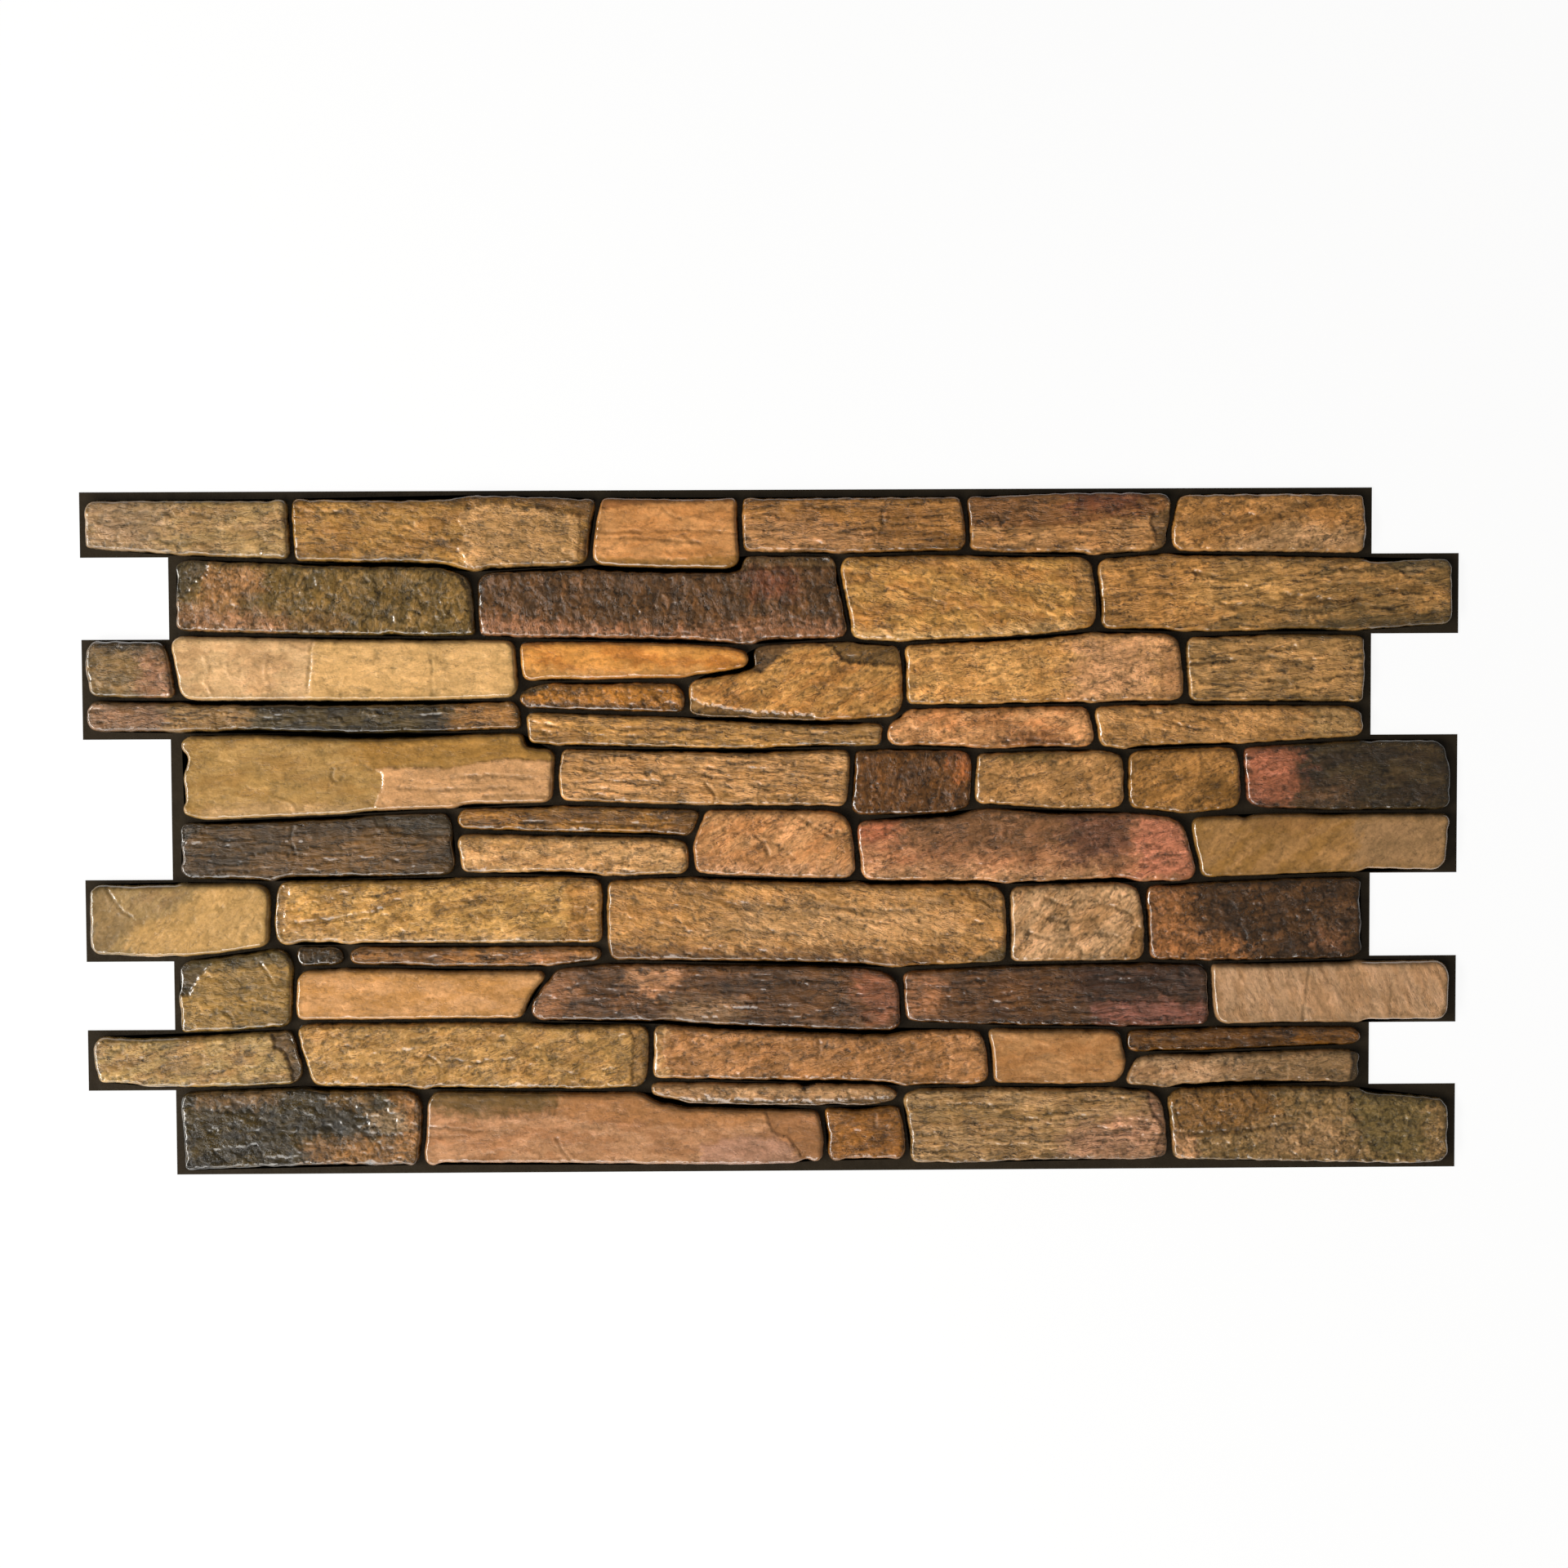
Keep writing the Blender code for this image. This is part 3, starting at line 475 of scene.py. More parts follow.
        area(0, (150, 118, 70), 3.5, (588, 48), (690, 44), (692, 38), (588, 41)),
        line(0.6, 0.9, (705, 21), (713, 26), (722, 32)),
        area(-1.2, (140, 104, 82), 0.9, (756, 62), (759, 48), (762, 38), (769, 30), (763, 16),
             (766, 3), (778, 3), (778, 62)))),
    ("h12", (870, 30), "rough", 12, (150, 120, 80), (130, 104, 66), (
        area(0, (142, 100, 50), 6, (774, 62), (850, 62), (852, 37), (815, 28), (790, 26),
             (774, 29)),
        line(0.8, 0.9, (774, 28.5), (790, 25.5), (815, 27.5), (862, 33)),
        area(0.3, (196, 148, 110), 1.2, (776, 27), (792, 25), (793, 8), (776, 8)),
        area(-0.4, (110, 94, 56), 3, (902, 58), (958, 56), (958, 8), (924, 6), (914, 20),
             (904, 40)),
        area(0, (172, 136, 100), 8, (842, 30), (900, 34), (904, 10), (846, 8)))),
))

# The ink in the joints, a pale painted highlight for the stones' rims, and the ink on the back.
JOINT_INK = (30, 25, 18)
RIM_HIGHLIGHT = (196, 156, 118)
BACK_INK = (30, 29, 27)

COURSES = (
    ("stones_course_1", ("a1", "a2", "a3", "a4", "a5", "a6")),
    ("stones_course_2", ("b1", "b2", "b3", "b4")),
    ("stones_course_3", ("c1", "c2", "c3", "c4", "c5", "c6", "c7", "c8", "c9", "c10", "c11")),
    ("stones_course_4", ("d1", "d2", "d3", "d4", "d5", "d6")),
    ("stones_course_5", ("e1", "e2", "e3", "e4", "e5", "e6")),
    ("stones_course_6", ("f1", "f2", "f3", "f4", "f5", "f6", "f7")),
    ("stones_course_7", ("g1", "g2", "g3", "g4", "g5")),
    ("stones_course_8", ("h1", "h2", "h3", "h4", "h5", "h6", "h7")),
    ("stones_course_9", ("h8", "h9", "h10", "h11", "h12")),
)


# Noise and distance, worked out for many points at once


def lattice(across, up, seed):
    """A number from 0 to 1 for each lattice point, the same on every run."""
    mixed = (across * 374761393 + up * 668265263 + seed * 974634777) & 0xFFFFFFFF
    mixed = ((mixed ^ (mixed >> 13)) * 1274126177) & 0xFFFFFFFF
    return ((mixed ^ (mixed >> 16)) & 0xFFFFFF) / 0xFFFFFF


def noise(points, seed):
    """Gradient noise from about -1 to 1, at points given in units of its cells."""
    cell = np.floor(points).astype(np.int64)
    part = points - cell
    smooth = part * part * part * (part * (part * 6 - 15) + 10)
    total = np.zeros(len(points))
    for right in (0, 1):
        for above in (0, 1):
            turn = lattice(cell[:, 0] + right, cell[:, 1] + above, seed) * 2 * math.pi
            slope = np.cos(turn) * (part[:, 0] - right) + np.sin(turn) * (part[:, 1] - above)
            share_x = smooth[:, 0] if right else 1 - smooth[:, 0]
            share_y = smooth[:, 1] if above else 1 - smooth[:, 1]
            total += share_x * share_y * slope
    return total * 1.5


def rich_noise(points, seed, octaves=3, gain=0.5):
    """Noise with finer noise on it."""
    total = np.zeros(len(points))
    for octave in range(octaves):
        total += gain ** octave * noise(points * 2.03 ** octave + 17.3 * octave, seed + octave)
    return total


def smoothstep(low, high, value):
    """From 0 at low to 1 at high, level at both ends; low may be the larger of the two."""
    share = np.clip((value - low) / (high - low), 0, 1)
    return share * share * (3 - 2 * share)


def near_box(points, path, reach, links):
    """The points within reach of the box around a path, by number and in small batches."""
    low, high = path.min(axis=0) - reach, path.max(axis=0) + reach
    near = np.flatnonzero(((points > low) & (points < high)).all(axis=1))
    size = max(1, BATCH // links)
    for first in range(0, len(near), size):
        some = near[first:first + size]
        yield some, points[some, 0][:, None], points[some, 1][:, None]


def distance_to(points, path, closed):
    """How far each point is from a path, with FAR for the points well outside its box."""
    path = np.asarray(path, float)
    starts = path if closed else path[:-1]
    runs = (np.roll(path, -1, axis=0) if closed else path[1:]) - starts
    (ax, ay), (run_x, run_y) = starts.T, runs.T
    lengths = np.maximum(run_x ** 2 + run_y ** 2, 1e-12)
    found = np.full(len(points), FAR)
    for some, x, y in near_box(points, path, PATH_REACH, len(starts)):
        x, y = x - ax, y - ay
        share = np.clip((x * run_x + y * run_y) / lengths, 0, 1)
        found[some] = np.sqrt(((x - share * run_x) ** 2 + (y - share * run_y) ** 2).min(axis=1))
    return found


def is_inside(points, outline):
    """Which of the points an outline holds."""
    outline = np.asarray(outline, float)
    (ax, ay), (bx, by) = outline.T, np.roll(outline, -1, axis=0).T
    slope = (bx - ax) / np.where(by == ay, 1, by - ay)
    found = np.zeros(len(points), bool)
    for some, x, y in near_box(points, outline, 0, len(outline)):
        crossed = ((ay > y) != (by > y)) & (x < slope * (y - ay) + ax)
        found[some] = crossed.sum(axis=1) % 2 == 1
    return found


def printed(colour):
    """A colour as it looks, from 0 to 255, in the linear values that a shader takes."""
    value = np.array(colour, float) / 255
    return np.where(value <= 0.04045, value / 12.92, ((value + 0.055) / 1.055) ** 2.4)


# What the frame says


def frame_loops():
    """The sheet's own edge, then the foot of each stone, and every point of the CAD's upper skin."""
    skin = bmesh.new()
    skin.from_mesh(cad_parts[NODE].data)
    bmesh.ops.remove_doubles(skin, verts=skin.verts, dist=2e-6)
    top = SHEET_TOP / MM
    flat = {
        face for face in skin.faces
        if face.normal.z > 0.9 and all(abs(vert.co.z - top) < 2e-5 for vert in face.verts)
    }
    following = {}
    for face in flat:
        for loop in face.loops:
            if sum(other in flat for other in loop.edge.link_faces) == 1:
                following[loop.vert] = loop.link_loop_next.vert
    loops = []
    while following:
        start, vert = following.popitem()
        ring = [start]
        while vert is not start:
            ring.append(vert)
            vert = following.pop(vert)
        loops.append(np.array([(v.co.x, v.co.y) for v in ring]) * MM - CORNER)
    above = np.array([tuple(v.co) for v in skin.verts if v.co.z > top + 1e-4]) * MM
    skin.free()
    above[:, :2] -= CORNER
    loops.sort(key=lambda ring: -np.ptp(ring[:, 0]) * np.ptp(ring[:, 1]))
    return loops[0], [ring[::-1] for ring in loops[1:]], above


def rounded(ring, radius):
    """A ring with each corner cut twice, no further than radius."""
    for cut in (radius, radius * 0.4):
        before, after = np.roll(ring, 1, axis=0), np.roll(ring, -1, axis=0)
        points = []
        for here, last, following in zip(ring, before, after):
            for other in (last, following):
                run = np.linalg.norm(other - here)
                points.append(here + (other - here) * min(0.3, cut / run))
        ring = np.array(points)
    return ring


def evenly(ring, step):
    """The same ring with points a step apart."""
    closed = np.vstack([ring, ring[:1]])
    along = np.concatenate([[0], np.cumsum(np.linalg.norm(np.diff(closed, axis=0), axis=1))])
    count = max(12, int(round(along[-1] / step)))
    places = np.linspace(0, along[-1], count, endpoint=False)
    return np.column_stack([np.interp(places, along, closed[:, axis]) for axis in (0, 1)])


def inward(ring):
    """Unit vectors at the ring's points, square to it and towards its inside."""
    along = np.roll(ring, -1, axis=0) - np.roll(ring, 1, axis=0)
    along /= np.linalg.norm(along, axis=1)[:, None]
    return np.column_stack([-along[:, 1], along[:, 0]])


def free_room(rings, outline, step):
    """For each point of each ring, how far it may move out so that its joint becomes narrow."""
    owners = [owner for owner, ring in enumerate(rings) for _ in ring]
    tree = KDTree(len(owners))
    for number, point in enumerate(np.vstack(rings)):
        tree.insert((*point, 0.0), number)
    tree.balance()
    near, far = NEIGHBOUR
    blur = round(ROOM_BLUR / step)
    found = []
    for owner, ring in enumerate(rings):
        nearest = np.array([
            min((away for _, other, away in tree.find_range((*point, 0.0), far)
                 if owners[other] != owner), default=FAR)
            for point in ring
        ])
        room = np.clip(ROOM_SHARE * (nearest - NARROW_JOINT), 0, MOST_ROOM)
        room *= smoothstep(far, near, nearest)
        room *= smoothstep(*EDGE, distance_to(ring, outline, True))
        found.append(np.mean([np.roll(room, k) for k in range(-blur, blur + 1)], axis=0))
    return found


def grown(ring, room):
    """A ring moved out by its room in small steps, so that it doesn't cross itself."""
    steps = 6
    for _ in range(steps):
        ring = ring - inward(ring) * room[:, None] / steps
        ring = 0.6 * ring + 0.2 * np.roll(ring, 1, axis=0) + 0.2 * np.roll(ring, -1, axis=0)
    return ring


def foot_rings(shape):
    """The outer outline, and by name each stone's worn foot ring and the plane of its face."""
    outline, rings, above = frame_loops()
    step = shape.outline_step * MM
    rings = [evenly(rounded(ring, CORNER_CUT), step) for ring in rings]
    rooms = free_room(rings, outline, step)
    rings = [
        evenly(grown(ring, shape.spread * room), step) for ring, room in zip(rings, rooms)
    ]
    stones = {}
    for number, stone in enumerate(STONES):
        point = np.array([stone.middle], float)
        found = [k for k, ring in enumerate(rings) if is_inside(point, ring)[0]]
        if len(found) != 1:
            raise RuntimeError(f"the frame has {len(found)} stones at {stone.name}")
        ring = rings[found[0]]
        heights = above[is_inside(above[:, :2], ring)]
        face = heights[heights[:, 2] > FACE_SHARE * heights[:, 2].max()]
        terms = np.column_stack([np.ones(len(face)), face[:, :2] - stone.middle])
        plane = np.linalg.lstsq(terms, face[:, 2], rcond=None)[0]
        ragged = shape.ragged * MM * (0.4 + STYLES[stone.style]["chip"])
        shift = rich_noise(ring / 10, 40 + number, 2) * ragged
        worn = ring + inward(ring) * np.clip(shift, -0.3, 0.6)[:, None]
        stones[stone.name] = (worn, plane, number)
    return outline, stones


# Shapes


def turned(points, degrees):
    """Points in axes along and across a grain that runs in this direction."""
    angle = math.radians(degrees)
    along, up = math.cos(angle), math.sin(angle)
    return points @ np.array([(along, -up), (up, along)])


def facets(points, seed):
    """Chiselled facets, one plane to a cell: their height, and how near the next facet is."""
    cell = np.floor(points).astype(np.int64)
    nearest = np.full(len(points), 9.0)
    second = np.full(len(points), 9.0)
    height = np.zeros(len(points))
    for right in (-1, 0, 1):
        for up in (-1, 0, 1):
            x, y = cell[:, 0] + right, cell[:, 1] + up
            offset = points - np.column_stack([
                x + 0.15 + 0.7 * lattice(x, y, seed), y + 0.15 + 0.7 * lattice(x, y, seed + 1)])
            away = np.hypot(offset[:, 0], offset[:, 1])
            lean = 2 * math.pi * lattice(x, y, seed + 2)
            plane = np.cos(lean) * offset[:, 0] + np.sin(lean) * offset[:, 1]
            plane = 0.8 * plane + 0.7 * lattice(x, y, seed + 3) - 0.35
            nearer = away < nearest
            second = np.where(nearer, nearest, np.minimum(second, away))
            height = np.where(nearer, plane, height)
            nearest = np.minimum(nearest, away)
    return height, 1 - smoothstep(0.0, 0.22, second - nearest)


def softened(path):
    """An open path with its corners cut twice."""
    for _ in range(2):
        cut = [path[0]]
        for start, end in zip(path, path[1:]):
            cut += [0.75 * start + 0.25 * end, 0.25 * start + 0.75 * end]
        path = np.array([*cut, path[-1]])
    return path


def over_sheet(points, stone, plane):
    """How far a stone's plain face stands over the sheet."""
    return plane[0] + (points - stone.middle) @ plane[1:] - FACE_DROP - SHEET_TOP


def patch_share(points, outline, soft):
    """How much of a patch covers each point, from 0 to 1."""
    away = distance_to(points, outline, True)
    away = np.where(is_inside(points, outline), away, -away)
    return smoothstep(-0.5 * soft, 0.5 * soft, away)


# Beside the relief, masks for the print: painted shade in creases and cracks, painted highlight on
# ridges.
Relief = namedtuple("Relief", "broad small crease crack shake")


def wrinkles(points, bent, shake, grain, look, seed):
    """Round crests with sharp creases between them, and long waves that lean off the grain."""
    folds = np.abs(noise(bent / (6.3 * look["stretch"], 5.2), seed + 16))
    fine = np.abs(noise(bent / (3.3 * look["stretch"], 2.9), seed + 17))
    patchy = smoothstep(-0.5, 0.5, rich_noise(points / (26, 12), seed + 18, 2))
    wrinkle = look["wrinkle"] * (0.35 + 0.65 * patchy)
    small = wrinkle * (1.5 * np.minimum(folds, 0.5) + 0.8 * np.minimum(fine, 0.4) - 0.5)
    crease = wrinkle * (smoothstep(0.13, 0.0, folds) + 0.7 * smoothstep(0.14, 0.0, fine))

    leaning = turned(points, grain + 14) + 4.5 * shake
    waves = np.abs(noise(leaning / (46, 11), seed + 19))
    small += look["wrinkle"] * (1.3 * np.minimum(waves, 0.7) - 0.45)
    crease += 0.9 * look["wrinkle"] * smoothstep(0.06, 0.0, waves)
    return small, crease


def chiselled(bent, seed):
    """Large and small facets, and the creases between them."""
    plane, gap = facets(bent / (9.5, 5.6), seed + 20)
    less, thin = facets(bent / (5.0, 3.3), seed + 24)
    return 0.75 * plane + 0.4 * less - 0.3 * gap, 0.9 * gap + 0.45 * thin


def split_strata(points, run, bent, strength, seed):
    """Long treads, each with a small drop behind it, and the creases at the drops."""
    strata = bent[:, 1] / 6.4 + 0.8 * rich_noise(run / (60, 13), seed + 28, 3)
    tread = strata - np.floor(strata)
    edge = smoothstep(0.84, 0.96, tread)
    broken = smoothstep(-0.3, 0.25, rich_noise(points / (28, 9), seed + 32, 2))
    steps = strength * broken * (1.3 * tread * (1 - edge) - 0.5)
    return steps, strength * broken * edge * (tread < 0.99)


def marked(broad, points, marks, shake, seed):
    """The broad relief with a stone's own cracks, ridges and raised patches, and a mask of its
    cracks and ridges for painted shade and highlight.
    """
    crack = np.zeros(len(points))
    for kind, size, _, width, path in marks:
        path = np.array(path, float)
        if kind == "line":
            away = distance_to(points + 0.8 * shake, softened(path), False)
            wide = max(1.0, 1.4 * width)
            # A ridge is flatter than a crack of the same number is deep.
            size = max(size, 0.7 * size)
            groove = np.exp(-((away / wide) ** 2))
            groove *= 0.45 + 0.55 * smoothstep(-0.6, 0.3, noise(points / 8, seed + 36))
            broad -= 1.4 * size * groove - 0.35 * size * np.exp(-((away / wide - 1.9) ** 2))
            # Painted shade along a crack, painted highlight along a ridge.
            crack += 0.7 * groove if size > 0 else -0.3 * groove
        elif size:
            broad += size * patch_share(points + (0.6 + 0.4 * width) * shake, path, width)
    return broad, crack


def carved(points, stone, number):
    """Relief over the face in millimetres, broad and small, with masks of its creases and cracks for
    the print's painted shade and highlight.
    """
    look = STYLES[stone.style]
    seed = 100 + 37 * number
    run = turned(points, stone.grain)
    shake = np.column_stack([
        rich_noise(points / 6.5, seed, 4, 0.6), rich_noise(points / 6.5, seed + 5, 4, 0.6)])
    bent = run + 5.1 / look["stretch"] * shake
    broad = 0.34 * rich_noise(points / (42, 22), seed + 10, 2)
    broad += look["rough"] * rich_noise(run / (13, 7), seed + 12, 3, 0.55)
    small, crease = wrinkles(points, bent, shake, stone.grain, look, seed)
    if look["chisel"]:
        steps, gaps = chiselled(bent, seed)
        small += look["chisel"] * steps
        crease += look["chisel"] * gaps
    if look["layer"]:
        steps, drops = split_strata(points, run, bent, look["layer"], seed)
        small += steps
        crease += drops
    broad, crack = marked(broad, points, stone.marks, shake, seed)
    return Relief(broad, small, np.clip(crease, 0, 1), np.clip(crack, -1, 1), shake)


Rim = namedtuple("Rim", "wall width rise curl share settle")


def stone_rim(points, away, look, shape, seed):
    """The wall and its rounded, chipped shoulder: their widths, and how far a point is up each."""
    wall = shape.wall_run * MM * (1 + 0.15 * noise(points / 9, seed))
    chip = look["chip"] * smoothstep(0.15, 0.6, rich_noise(points / 8.0, seed + 2, 2))
    width = look["edge"] * shape.edge_run / 0.003 * (1 + 1.1 * chip)
    rise = np.clip(away / wall, 0, 1)
    curl = np.clip((away - wall) / width, 0, 1)
    share = SHOULDER * rise ** 0.85 + (1 - SHOULDER) * (1 - (1 - curl) ** 1.9)
    return Rim(wall, width, rise, curl, share, smoothstep(0.05, 0.75, curl))


def skin_height(points, away, over, look, relief, rim, seed):
    """Height of the printed skin, under the CAD's top everywhere."""
    height = SHEET_TOP + rim.share * over + rim.settle * relief.broad
    height += smoothstep(0.4, 0.95, rim.curl) * relief.small
    height += 0.15 * smoothstep(0.3, 0.9, rim.curl) * noise(points / 4.5, seed + 3) * look["chip"]
    height = np.where(away < 1e-6, SHEET_TOP, np.maximum(height, SHEET_TOP + 0.05 * rim.rise))
    return np.minimum(height, CAD_TOP - TOP_CLEAR)


def patch_cover(points, mark, shake, drift):
    """How much of a patch's ink covers each point: crisp where it is raised, else blurred."""
    _, lift, _, soft, path = mark
    if abs(lift) > 0.5:
        return 0.85 * patch_share(points + (0.6 + 0.4 * soft) * shake, path, soft + 0.6)
    moved = points + (2.0 + 0.5 * soft) * shake
    moved[:, 0] += (4.0 + 0.5 * soft) * drift
    moved[:, 1] += (1.0 + 0.3 * soft) * drift
    return 0.85 * patch_share(moved, path, 4.0 + 2.2 * soft)


def print_tone_and_painted_shade(points, away, streaky, look, relief, rim, seed):
    """How light the print is: streaks, with painted highlight on the relief's crests and ridges, and
    painted shade in its creases, cracks and near its foot.
    """
    mottle = 0.45 + 0.55 * look["streak"]
    tone = 1.02 + 0.18 * mottle * rich_noise(streaky / (22, 3.6), seed + 11, 3, 0.62)
    tone += 0.16 * mottle * rich_noise(points / (30, 15), seed + 26, 2)
    # Painted highlight on the crests and painted shade in the hollows and creases.
    tone *= 1 + 0.28 * np.clip(relief.small / 0.5, -1, 1)
    tone *= 1 - 0.54 * np.clip(relief.crease, 0, 1)
    # Painted shade along the cracks and painted highlight along the ridges.
    tone *= 1 - 0.50 * np.clip(relief.crack, 0, 1) - 0.20 * np.clip(relief.crack, -1, 0)
    # Painted shade within a few millimetres of the rim.
    return tone * (0.72 + 0.31 * smoothstep(0.8, 5.5, away - rim.wall))


def print_colour(points, away, stone, relief, rim, varnish, seed):
    """The printed colour: two inks mixed along the grain, the stone's patches, painted shade and
    highlight from the relief, a painted highlight on the shoulder, and the joint.
    """
    streaky = turned(points, stone.grain) + 2.2 * relief.shake
    mixed = smoothstep(-0.4, 0.5, rich_noise(streaky / (34, 10), seed + 5, 4, 0.6))
    first = printed(stone.first)
    colour = first + (printed(stone.second) - first) * mixed[:, None]
    drift = rich_noise(streaky / (16, 4), seed + 9, 3, 0.6)
    for mark in stone.marks:
        kind, own = mark[0], mark[2]
        if kind == "area" and own is not None:
            cover = patch_cover(points, mark, relief.shake, drift)
            colour += (printed(own) - colour) * cover[:, None]
    tone = print_tone_and_painted_shade(points, away, streaky, STYLES[stone.style], relief, rim, seed)
    # Painted highlight: a pale band round each stone's rounded shoulder.
    worn = smoothstep(0.02, 0.2, rim.curl) * smoothstep(0.65, 0.35, rim.curl)
    worn *= 0.30 * smoothstep(-0.3, 0.6, noise(points / 11, seed + 12))
    # The tone's painted shade darkens the print and its painted highlight lightens it; the painted
    # shade leans olive and the painted highlight pink.
    colour *= np.clip(1 + 1.15 * (tone - 1), 0.2, 1.75)[:, None]
    colour *= np.clip(1 + (tone - 1)[:, None] * (0.03, -0.03, 0.14), 0.8, 1.2)
    brightest = colour.max(axis=1)[:, None]
    colour += (printed(RIM_HIGHLIGHT) - colour) * worn[:, None] * brightest * 2
    painted = smoothstep(-0.05, 0.18, rim.share + 0.05 * noise(points / 2.5, seed + 14))
    joint = printed(JOINT_INK)
    return joint + (colour * np.array(varnish) - joint) * painted[:, None]


def stone_surface(points, away, stone, plane, number, shape, varnish):
    """Height, colour and grain of the printed skin at points of one stone, away from its foot."""
    look = STYLES[stone.style]
    seed = 500 + 31 * number
    relief = carved(points, stone, number)
    rim = stone_rim(points, away, look, shape, seed)
    over = over_sheet(points, stone, plane)
    height = skin_height(points, away, over, look, relief, rim, seed)
    colour = print_colour(points, away, stone, relief, rim, varnish, seed)

    bend = 1.8 * rich_noise(points / 17, seed + 17, 2)
    across = turned(points, stone.grain) + np.column_stack([bend, 0.8 * bend])
    fibre = np.column_stack([
        across[:, 0] / look["stretch"], across[:, 1], height * 0.4 + 9.7 * number,
    ])
    gloss = look["gloss"] * (0.8 + 0.4 * noise(points / 21, seed + 23))
    edge = 1.0 - smoothstep(rim.wall + 0.9 * rim.width, rim.wall + 1.5 * rim.width, away)
    touch = np.column_stack([
        look["streak"] * (0.75 + 0.4 * rich_noise(points / 16, seed + 20, 2)) * rim.settle,
        look["speck"] * rim.settle,
        np.maximum(gloss, edge),
    ])
    return height, np.clip(colour, 0, 1), fibre, np.clip(touch, 0, 1)


def inner_points(ring, rows, start, step, seed):
    """Points inside a ring: rows that follow it, then from start inwards an uneven grid."""
    found = []
    way = inward(ring)
    for row in rows:
        places = ring + way * row
        places = places[is_inside(places, ring)]
        found.append(places[distance_to(places, ring, True) > 0.92 * row])
    low, high = ring.min(axis=0), ring.max(axis=0)
    grid = []
    for k, up in enumerate(np.arange(low[1], high[1], step * 0.866)):
        across = np.arange(low[0] + (k % 2) * step / 2, high[0], step)
        grid.append(np.column_stack([across, np.full(len(across), up)]))
    grid = np.vstack(grid)
    grid += np.random.default_rng(seed).uniform(-0.16, 0.16, grid.shape) * step
    grid = grid[is_inside(grid, ring)]
    found.append(grid[distance_to(grid, ring, True) > start])
    return np.vstack(found)


def skin_faces(ring, inner):
    """Triangles over a ring and the points inside it, wound counter-clockwise."""
    points = np.vstack([ring, inner])
    edges = [(k, (k + 1) % len(ring)) for k in range(len(ring))]
    made = delaunay_2d_cdt([Vector(point) for point in points], edges, [], 1, 1e-6, True)
    source = np.array([ids[0] if ids else -1 for ids in made[3]])
    if (source < 0).any() or len(set(source)) != len(source):
        raise RuntimeError("a stone's outline crosses itself")
    faces = source[np.array([tuple(face) for face in made[2]])]
    a, b, c = (points[faces[:, k]] for k in range(3))
    wound = (b - a)[:, 0] * (c - a)[:, 1] - (b - a)[:, 1] * (c - a)[:, 0]
    faces[wound < 0] = faces[wound < 0][:, ::-1]
    return points, faces


def lowest_near(points, heights, places, reach):
    """The lowest height within about reach of each place."""
    cell = reach / 2
    low = points.min(axis=0) - 3 * reach
    count = np.ceil((points.max(axis=0) + 3 * reach - low) / cell).astype(int)
    lowest = np.full(count, np.inf)
    at = ((points - low) / cell).astype(int)
    np.minimum.at(lowest, (at[:, 0], at[:, 1]), heights)
    spread = lowest.copy()
    for right in range(-2, 3):
        for up in range(-2, 3):
            spread = np.minimum(spread, np.roll(lowest, (right, up), axis=(0, 1)))
    at = ((places - low) / cell).astype(int)
    return spread[at[:, 0], at[:, 1]]


def hollow_back(ring, stone, plane, number, skin, height):
    """Points and triangles of a stone's back, under the lowest skin near each point."""
    inner = inner_points(ring, BACK_ROWS, BACK_GRID_FROM, BACK_GRID_STEP, number + 900)
    points, faces = skin_faces(ring, inner)
    away = distance_to(points, ring, True)
    deck = away > DECK
    row_two = (away > ROW_TWO) & ~deck
    row_one = (away > ROW_ONE) & (away <= ROW_TWO)
    under = np.zeros(len(points))
    under[row_one] = LOW_SHARE * over_sheet(points, stone, plane)[row_one]
    for chosen, (reach, thickness) in ((row_two, UNDER_RIM), (deck, UNDER_FACE)):
        under[chosen] = lowest_near(skin, height, points[chosen], reach) - thickness
    under = np.clip(under, 0, CAD_TOP)
    under[:len(ring)] = 0
    return np.column_stack([points, under]), faces


def stone_shell(stone, ring, plane, number, shape, varnish):
    """One hollow stone: the printed skin, the back under it, and the rim between them."""
    step = shape.mesh_step * MM
    wall = shape.wall_run * MM
    rows = (0.5 * wall, wall, *(wall + row for row in CREST_ROWS))
    points, faces = skin_faces(
        ring, inner_points(ring, rows, rows[-1] + 0.6 * step, step, number))
    away = distance_to(points, ring, True)
    away[:len(ring)] = 0
    height, colour, fibre, touch = stone_surface(
        points, away, stone, plane, number, shape, varnish)
    top = np.column_stack([points, height])
    counts = away > SKIN_FROM
    bottom, back_faces = hollow_back(ring, stone, plane, number, points[counts], height[counts])

    count, edge = len(top), np.arange(len(ring))
    after = np.roll(edge, -1)
    rim = np.vstack([
        np.column_stack([edge, count + edge, count + after]),
        np.column_stack([edge, count + after, after]),
    ])
    return {
        "points": np.vstack([top, bottom]),
        "faces": np.vstack([faces, back_faces[:, ::-1] + count, rim]),
        "back": np.concatenate([
            np.zeros(len(faces), int), np.ones(len(back_faces) + len(rim), int)]),
        "paint": np.vstack([colour, np.tile(printed(BACK_INK), (len(bottom), 1))]),
        "fibre": np.vstack([fibre, bottom * 0.5]),
        "touch": np.vstack([touch, np.zeros((len(bottom), 3))]),
        "skin": count,
    }


def shelf_places(sizes, gap):
    """Places in the unit square for rectangles set on shelves, and the scale that just fits."""
    order = sorted(range(len(sizes)), key=lambda k: -sizes[k][1])
    low, high, best = 0.0, 0.05, None
    for _ in range(30):
        scale = (low + high) / 2
        x = y = shelf = 0.0
        places = {}
        for k in order:
            wide, tall = sizes[k][0] * scale + gap, sizes[k][1] * scale + gap
            if x + wide > 1:
                x, y, shelf = 0.0, y + shelf, 0.0
            places[k] = (x + gap / 2, y + gap / 2)
            x, shelf = x + wide, max(shelf, tall)
            if wide > 1 or y + tall > 1:
                places = None
                break
        if places:
            low, best = scale, (places, scale)
        else:
            high = scale
    return best


